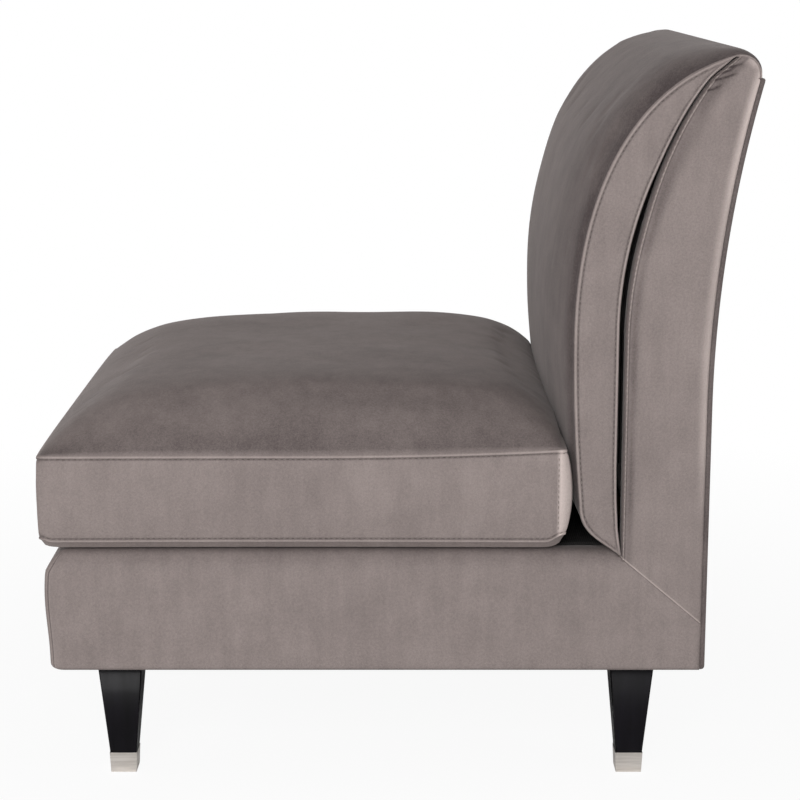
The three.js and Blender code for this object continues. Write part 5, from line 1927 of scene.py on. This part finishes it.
LOOKS = (
    Look(Finish.VELVET, Surface.PILE, "494141", "cabcb7", 0.3,
         {"Sheen Weight": 0.22, "Sheen Roughness": 0.35, "Sheen Tint": hex_colour("d4cfcd"),
          "Specular IOR Level": 0.08}, {"Painted Highlight": "painted_highlight", "Painted Shade": "painted_shade"}),
    Look(Finish.THREAD, Surface.THREADS, "6a625d", "8c837d", 0.05,
         {"Sheen Weight": 0.1, "Sheen Roughness": 0.4}, {"Pitch": 6000.0}),
    Look(Finish.LINING, Surface.THREADS, "1c1b1b", "343231", 0.1,
         {"Specular IOR Level": 0.2}, {"Pitch": 2600.0}),
    Look(Finish.WEBBING, Surface.THREADS, "4a3a2a", "8b7355", 0.2,
         {"Specular IOR Level": 0.2}, {"Pitch": 1500.0}),
    Look(Finish.FOAM, Surface.PILE, "cbbd8e", "e9dfb8", 0.3, {"Specular IOR Level": 0.2}),
    Look(Finish.FIBRE, Surface.PILE, "c9c8c4", "ecebe7", 0.5, {"Sheen Weight": 0.3, "Sheen Roughness": 0.5}),
    Look(Finish.TIMBER, Surface.GRAIN, "8a6a45", "c7a878", 0.1),
    Look(Finish.LACQUER, Surface.GRAIN, "0a090b", "131116", 0.02,
         {"Coat Weight": 0.05, "Coat Roughness": 0.15, "Specular IOR Level": 0.08}, {"Scale": 90.0}),
    Look(Finish.NICKEL, Surface.GRAIN, "d6cfc8", "f0eae4", 0.01, {"Metallic": 1.0, "Roughness": 0.3},
         {"Scale": 400.0, "Stretch": (0.05, 0.05, 1.0)}),
    Look(Finish.STEEL, Surface.GRAIN, "6d7073", "9a9da0", 0.02, {"Metallic": 1.0, "Roughness": 0.4},
         {"Scale": 300.0}),
)


class Graph:
    """Nodes added to a node tree, and linked, by short calls."""

    def __init__(self, tree: NodeTree) -> None:
        """Works on tree."""
        self.tree = tree

    def feed(self, node: Node, name: str | int, value: object) -> None:
        """Gives an input of a node its value, or links it to a socket.

        Args:
            node: the node.
            name: of the input, or its number.
            value: the value or the socket.
        """
        if isinstance(value, NodeSocket):
            self.tree.links.new(value, node.inputs[name])
        else:
            node.inputs[name].default_value = value

    def add(self, kind: str, inputs: dict[str | int, object] | None = None, **settings: object) -> Node:
        """Adds a node.

        Args:
            kind: its type.
            inputs: for each of its inputs, a value or the socket that is linked to it.
            **settings: its other properties.

        Returns:
            The new node.
        """
        node = self.tree.nodes.new(kind)
        for name, value in settings.items():
            setattr(node, name, value)
        for name, value in (inputs or {}).items():
            self.feed(node, name, value)
        return node

    def maths(self, operation: str, *values: object) -> NodeSocket:
        """Adds a maths node and returns its result."""
        return self.add("ShaderNodeMath", dict(enumerate(values)), operation=operation).outputs[0]

    def mix(self, factor: object, a: object, b: object) -> NodeSocket:
        """Adds a mix of two colours and returns its result."""
        return self.add("ShaderNodeMix", {0: factor, 6: a, 7: b}, data_type="RGBA").outputs[2]

    def noise(self, where: object, scale: object, detail: float) -> NodeSocket:
        """Adds noise over the surface and returns its value."""
        return self.add("ShaderNodeTexNoise", {"Vector": where, "Scale": scale, "Detail": detail}).outputs[0]

    def ramp(self, value: object, low: float, high: float, start: float = 0.0,
             end: float = 1.0) -> NodeSocket:
        """Adds a change of range.

        Args:
            value: what is changed.
            low: the value that becomes start.
            high: the value that becomes end.
            start: the first end of the new range.
            end: its other end.

        Returns:
            The result, held inside the new range.
        """
        inputs = {0: value, 1: low, 2: high, 3: start, 4: end}
        return self.add("ShaderNodeMapRange", inputs, clamp=True).outputs[0]

    def vary(self, value: object, start: float, end: float) -> NodeSocket:
        """Spreads the middle of a noise's range over start..end, and returns the result."""
        return self.ramp(value, 0.3, 0.7, start, end)


class SharedGroup(Graph):
    """A shader group that gives a colour between two, a roughness and a height."""

    def __init__(self, surface: Surface, own: dict[str, object]) -> None:
        """Starts the group.

        Args:
            surface: which it is.
            own: for each input but the two colours, its default: a number or a vector.
        """
        super().__init__(bpy.data.node_groups.new(surface.value, "ShaderNodeTree"))
        panel = self.tree.interface
        for label, value in own.items():
            kind = "NodeSocketVector" if isinstance(value, tuple) else "NodeSocketFloat"
            panel.new_socket(label, in_out="INPUT", socket_type=kind).default_value = value
        for label, grey in (("Dark", 0.1), ("Light", 0.3)):
            made = panel.new_socket(label, in_out="INPUT", socket_type="NodeSocketColor")
            made.default_value = (grey, grey, grey, 1.0)
        for label, kind in (("Color", "Color"), ("Roughness", "Float"), ("Height", "Float")):
            panel.new_socket(label, in_out="OUTPUT", socket_type=f"NodeSocket{kind}")
        self.source = self.add("NodeGroupInput").outputs
        self.result = self.add("NodeGroupOutput")
        self.where = self.add("ShaderNodeTexCoord").outputs["Object"]

    def close(self, tone: object, roughness: object, height: object) -> NodeTree:
        """Links the group's results.

        Args:
            tone: where the colour is between dark and light.
            roughness: of the surface.
            height: of its relief.

        Returns:
            The group.
        """
        self.feed(self.result, "Color", self.mix(tone, self.source["Dark"], self.source["Light"]))
        self.feed(self.result, "Roughness", roughness)
        self.feed(self.result, "Height", height)
        return self.tree


def fresh_graph(owner: Material | World) -> Graph:
    """Empties the nodes of a material or a world.

    Args:
        owner: the material or world.

    Returns:
        Its graph.
    """
    owner.use_nodes = True
    owner.node_tree.nodes.clear()
    return Graph(owner.node_tree)


class Palette:
    """Builds the chair's materials from shared groups."""

    def __init__(self) -> None:
        """Builds the groups."""
        self.groups = {
            Surface.PILE: self.pile_group(),
            Surface.THREADS: self.threads_group(),
            Surface.GRAIN: self.grain_group(),
        }

    def pile_group(self) -> NodeTree:
        """Builds the short pile of velvet: soft patches, brushed streaks and a fine speckle, lightened by
        painted highlight and darkened by painted shade.

        Returns:
            The group.
        """
        group = SharedGroup(Surface.PILE, {"Painted Highlight": 0.0, "Painted Shade": 0.0})
        where = group.where
        brushed = group.add("ShaderNodeMapping", {"Vector": where, "Scale": (1.0, 1.0, 0.16)}).outputs[0]
        broad, patch = group.noise(where, 7.0, 2.0), group.noise(where, 26.0, 3.0)
        streak = group.noise(brushed, 75.0, 3.0)
        tuft, speckle = group.noise(where, 380.0, 2.0), group.noise(where, 900.0, 1.0)
        tone = group.vary(broad, 0.315, 0.375)
        for value, reach in ((patch, 0.025), (streak, 0.022), (tuft, 0.035), (speckle, 0.035)):
            tone = group.maths("ADD", tone, group.vary(value, -reach, reach))
        # the painted highlight lightens the colour and the painted shade darkens it
        tone = group.maths("ADD", tone, group.maths("MULTIPLY", group.source["Painted Highlight"], 0.34))
        tone = group.maths("SUBTRACT", tone, group.maths("MULTIPLY", group.source["Painted Shade"], 0.28))
        height = group.maths("ADD", group.maths("MULTIPLY", speckle, 0.5), tuft)
        return group.close(group.ramp(tone, 0.0, 1.0), group.vary(tuft, 0.72, 0.92), height)

    def threads_group(self) -> NodeTree:
        """Builds a plain weave of crossing threads.

        Returns:
            The group.
        """
        group = SharedGroup(Surface.THREADS, {"Pitch": 900.0})
        axes = group.add("ShaderNodeSeparateXYZ", {0: group.where}).outputs
        x, y, z = (group.maths("SINE", group.maths("MULTIPLY", axis, group.source["Pitch"])) for axis in axes)
        height = group.maths("ADD", group.maths("MULTIPLY", x, y), group.maths("MULTIPLY", y, z))
        blotch = group.noise(group.where, 40.0, 4.0)
        tone = group.maths("ADD", group.ramp(height, -1.5, 1.5), group.vary(blotch, -0.25, 0.25))
        return group.close(tone, group.ramp(tone, 0.0, 1.0, 0.95, 0.75), height)

    def grain_group(self) -> NodeTree:
        """Builds long grain with pores, for timber, lacquer and brushed metal.

        Returns:
            The group.
        """
        group = SharedGroup(Surface.GRAIN, {"Stretch": (1.0, 1.0, 0.08), "Scale": 60.0})
        drawn = group.add("ShaderNodeMapping", {"Vector": group.where, "Scale": group.source["Stretch"]})
        fibre = group.noise(drawn.outputs[0], group.source["Scale"], 6.0)
        cloud = group.noise(group.where, 18.0, 3.0)
        tone = group.maths("ADD", group.vary(fibre, 0.0, 1.0), group.vary(cloud, -0.2, 0.2))
        return group.close(tone, group.ramp(tone, 0.0, 1.0, 0.42, 0.3), fibre)

    def material(self, look: Look) -> None:
        """Makes the material of one finish.

        Args:
            look: how it looks.
        """
        graph = fresh_graph(bpy.data.materials.new(look.finish.label))
        surface = graph.add("ShaderNodeGroup", node_tree=self.groups[look.surface])
        inputs = {"Dark": hex_colour(look.dark), "Light": hex_colour(look.light), **look.inputs}
        for name, value in inputs.items():
            if isinstance(value, str):
                value = graph.add("ShaderNodeAttribute", attribute_name=value).outputs["Fac"]
            graph.feed(surface, name, value)
        colour, roughness, height = (surface.outputs[name] for name in ("Color", "Roughness", "Height"))
        relief = graph.add("ShaderNodeBump", {"Height": height, "Strength": 1.0, "Distance": look.bump * MM})
        values = {"Base Color": colour, "Roughness": roughness, "Normal": relief.outputs[0], **look.shader}
        shader = graph.add("ShaderNodeBsdfPrincipled", values)
        graph.add("ShaderNodeOutputMaterial", {"Surface": shader.outputs[0]})

    def build(self) -> None:
        """Builds every material of the chair."""
        for look in LOOKS:
            self.material(look)


NODE_FINISHES: dict[Finish, tuple[str, ...]] = {
    Finish.STEEL: ("hanger_bolt", "tee_nut", "seat_spring", "spring_tie_rod"),
    Finish.TIMBER: ("corner_block", "front_rail", "side_rail", "rear_seat_rail", "rear_base_rail",
                    "back_post", "back_lower_rail", "back_top_rail", "outside_back_board"),
    Finish.WEBBING: ("webbing_strap",),
    Finish.FIBRE: ("insulator_sheet",),
    Finish.FOAM: ("deck_foam", "seat_foam"),
    Finish.NICKEL: ("zip_slider",),
}


def finish_nodes() -> None:
    """Gives the carried-over parts that stay in view their finishes."""
    for finish, starts in NODE_FINISHES.items():
        for name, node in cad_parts.items():
            if name.startswith(starts):
                for slot in node.material_slots:
                    slot.material = finish.material


# Studio


@dataclass(frozen=True)
class Lamp:
    """A square soft light, in metres and watts."""

    name: str
    place: Vector
    size: float
    power: float

    def build(self, aim: Vector) -> None:
        """Adds the light, looking at aim."""
        light = bpy.data.lights.new(self.name, "AREA")
        light.size = self.size
        light.energy = self.power
        made = bpy.data.objects.new(self.name, light)
        made.location = self.place
        made.rotation_euler = (aim - self.place).to_track_quat("-Z", "Y").to_euler()
        bpy.context.collection.objects.link(made)


@dataclass
class Studio:
    """The floor, the surround, the lamps and the camera, in metres and degrees."""

    lens: float = 94.5
    sensor: float = 36.0
    camera: Vector = Vector((2.678, 0.008, 0.95035))
    pitch: float = 11.8336
    heading: float = 90.0
    floor_half: float = 6.0
    floor_cells: int = 8
    floor_grey: float = 0.82
    # near the middle the floor glows less white, so its lit shading and the chair's shadow show there; this
    # leaves a faint painted grey round the chair
    shade: tuple[float, float, float, float] = (0.55, 1.6, 0.93, 1.0)  # from, to and the whiteness there
    surround: float = 0.3
    aim: Vector = Vector((0.0, 0.0, 0.45))
    lamps: tuple[Lamp, ...] = (
        Lamp("key", Vector((3.3, -0.5, 1.5)), 1.8, 72.0),
        Lamp("front", Vector((0.6, -3.3, 1.7)), 2.2, 22.0),
        Lamp("rear", Vector((1.2, 3.0, 1.4)), 1.6, 14.0),
    )

    def build_floor(self) -> None:
        """Lays the floor: white to the camera, and darker where the chair keeps light from it."""
        bm = bmesh.new()
        cells = self.floor_cells
        bmesh.ops.create_grid(bm, x_segments=cells, y_segments=cells, size=self.floor_half)
        floor = add_object("floor", bm)
        made = bpy.data.materials.new("floor_white")
        graph = fresh_graph(made)
        grey = (self.floor_grey, self.floor_grey, self.floor_grey, 1.0)
        plain = graph.add("ShaderNodeBsdfPrincipled", {"Base Color": grey, "Roughness": 0.9})
        glow = graph.add("ShaderNodeEmission", {"Color": WHITE, "Strength": 1.0})
        seen = graph.add("ShaderNodeLightPath").outputs["Is Camera Ray"]
        where = graph.add("ShaderNodeTexCoord").outputs["Object"]
        away = graph.add("ShaderNodeVectorMath", {0: where}, operation="LENGTH").outputs["Value"]
        share = graph.maths("MULTIPLY", seen, graph.ramp(away, *self.shade))
        both = graph.add("ShaderNodeMixShader", {0: share, 1: plain.outputs[0], 2: glow.outputs[0]})
        graph.add("ShaderNodeOutputMaterial", {"Surface": both.outputs[0]})
        floor.data.materials.append(made)

    def build_world(self) -> None:
        """Sets an even surround that the camera and polished metal see as white."""
        world = bpy.data.worlds.new("studio")
        graph = fresh_graph(world)
        dim = graph.add("ShaderNodeBackground", {"Color": (1.0, 0.99, 0.98, 1.0), "Strength": self.surround})
        white = graph.add("ShaderNodeBackground", {"Color": WHITE, "Strength": 1.0})
        path = graph.add("ShaderNodeLightPath").outputs
        seen = graph.maths("MAXIMUM", path["Is Camera Ray"], path["Is Glossy Ray"])
        both = graph.add("ShaderNodeMixShader", {0: seen, 1: dim.outputs[0], 2: white.outputs[0]})
        graph.add("ShaderNodeOutputWorld", {"Surface": both.outputs[0]})
        bpy.context.scene.world = world

    def build_camera(self) -> None:
        """Sets up the camera where the photograph was taken from."""
        data = bpy.data.cameras.new("camera")
        data.lens = self.lens
        data.sensor_width = self.sensor
        camera = bpy.data.objects.new("camera", data)
        camera.location = self.camera
        camera.rotation_euler = (math.radians(90.0 - self.pitch), 0.0, math.radians(self.heading))
        bpy.context.collection.objects.link(camera)
        bpy.context.scene.camera = camera

    def build(self) -> None:
        """Sets up the whole studio."""
        self.build_floor()
        self.build_world()
        for lamp in self.lamps:
            lamp.build(self.aim)
        self.build_camera()
        bpy.context.scene.view_settings.view_transform = "Standard"


def main() -> None:
    """Sets up the studio and the finishes and builds the chair's pieces in order."""
    logging.basicConfig(level=logging.INFO, format="%(message)s")
    Studio().build()
    Palette().build()
    finish_nodes()
    BaseCover().build()
    BasePadding().build()
    Deck().build()
    for side, name in ((1, "side_velvet_near"), (-1, "side_velvet_far")):
        SidePanel(side, name).build()
    OutsideBack().build()
    InnerBack().build()
    BackFill().build()
    SeatCushion().build()
    Zip().build()
    for where in ("front_left", "front_right", "rear_left", "rear_right"):
        Leg(where).build()


if __name__ == "__main__":
    main()
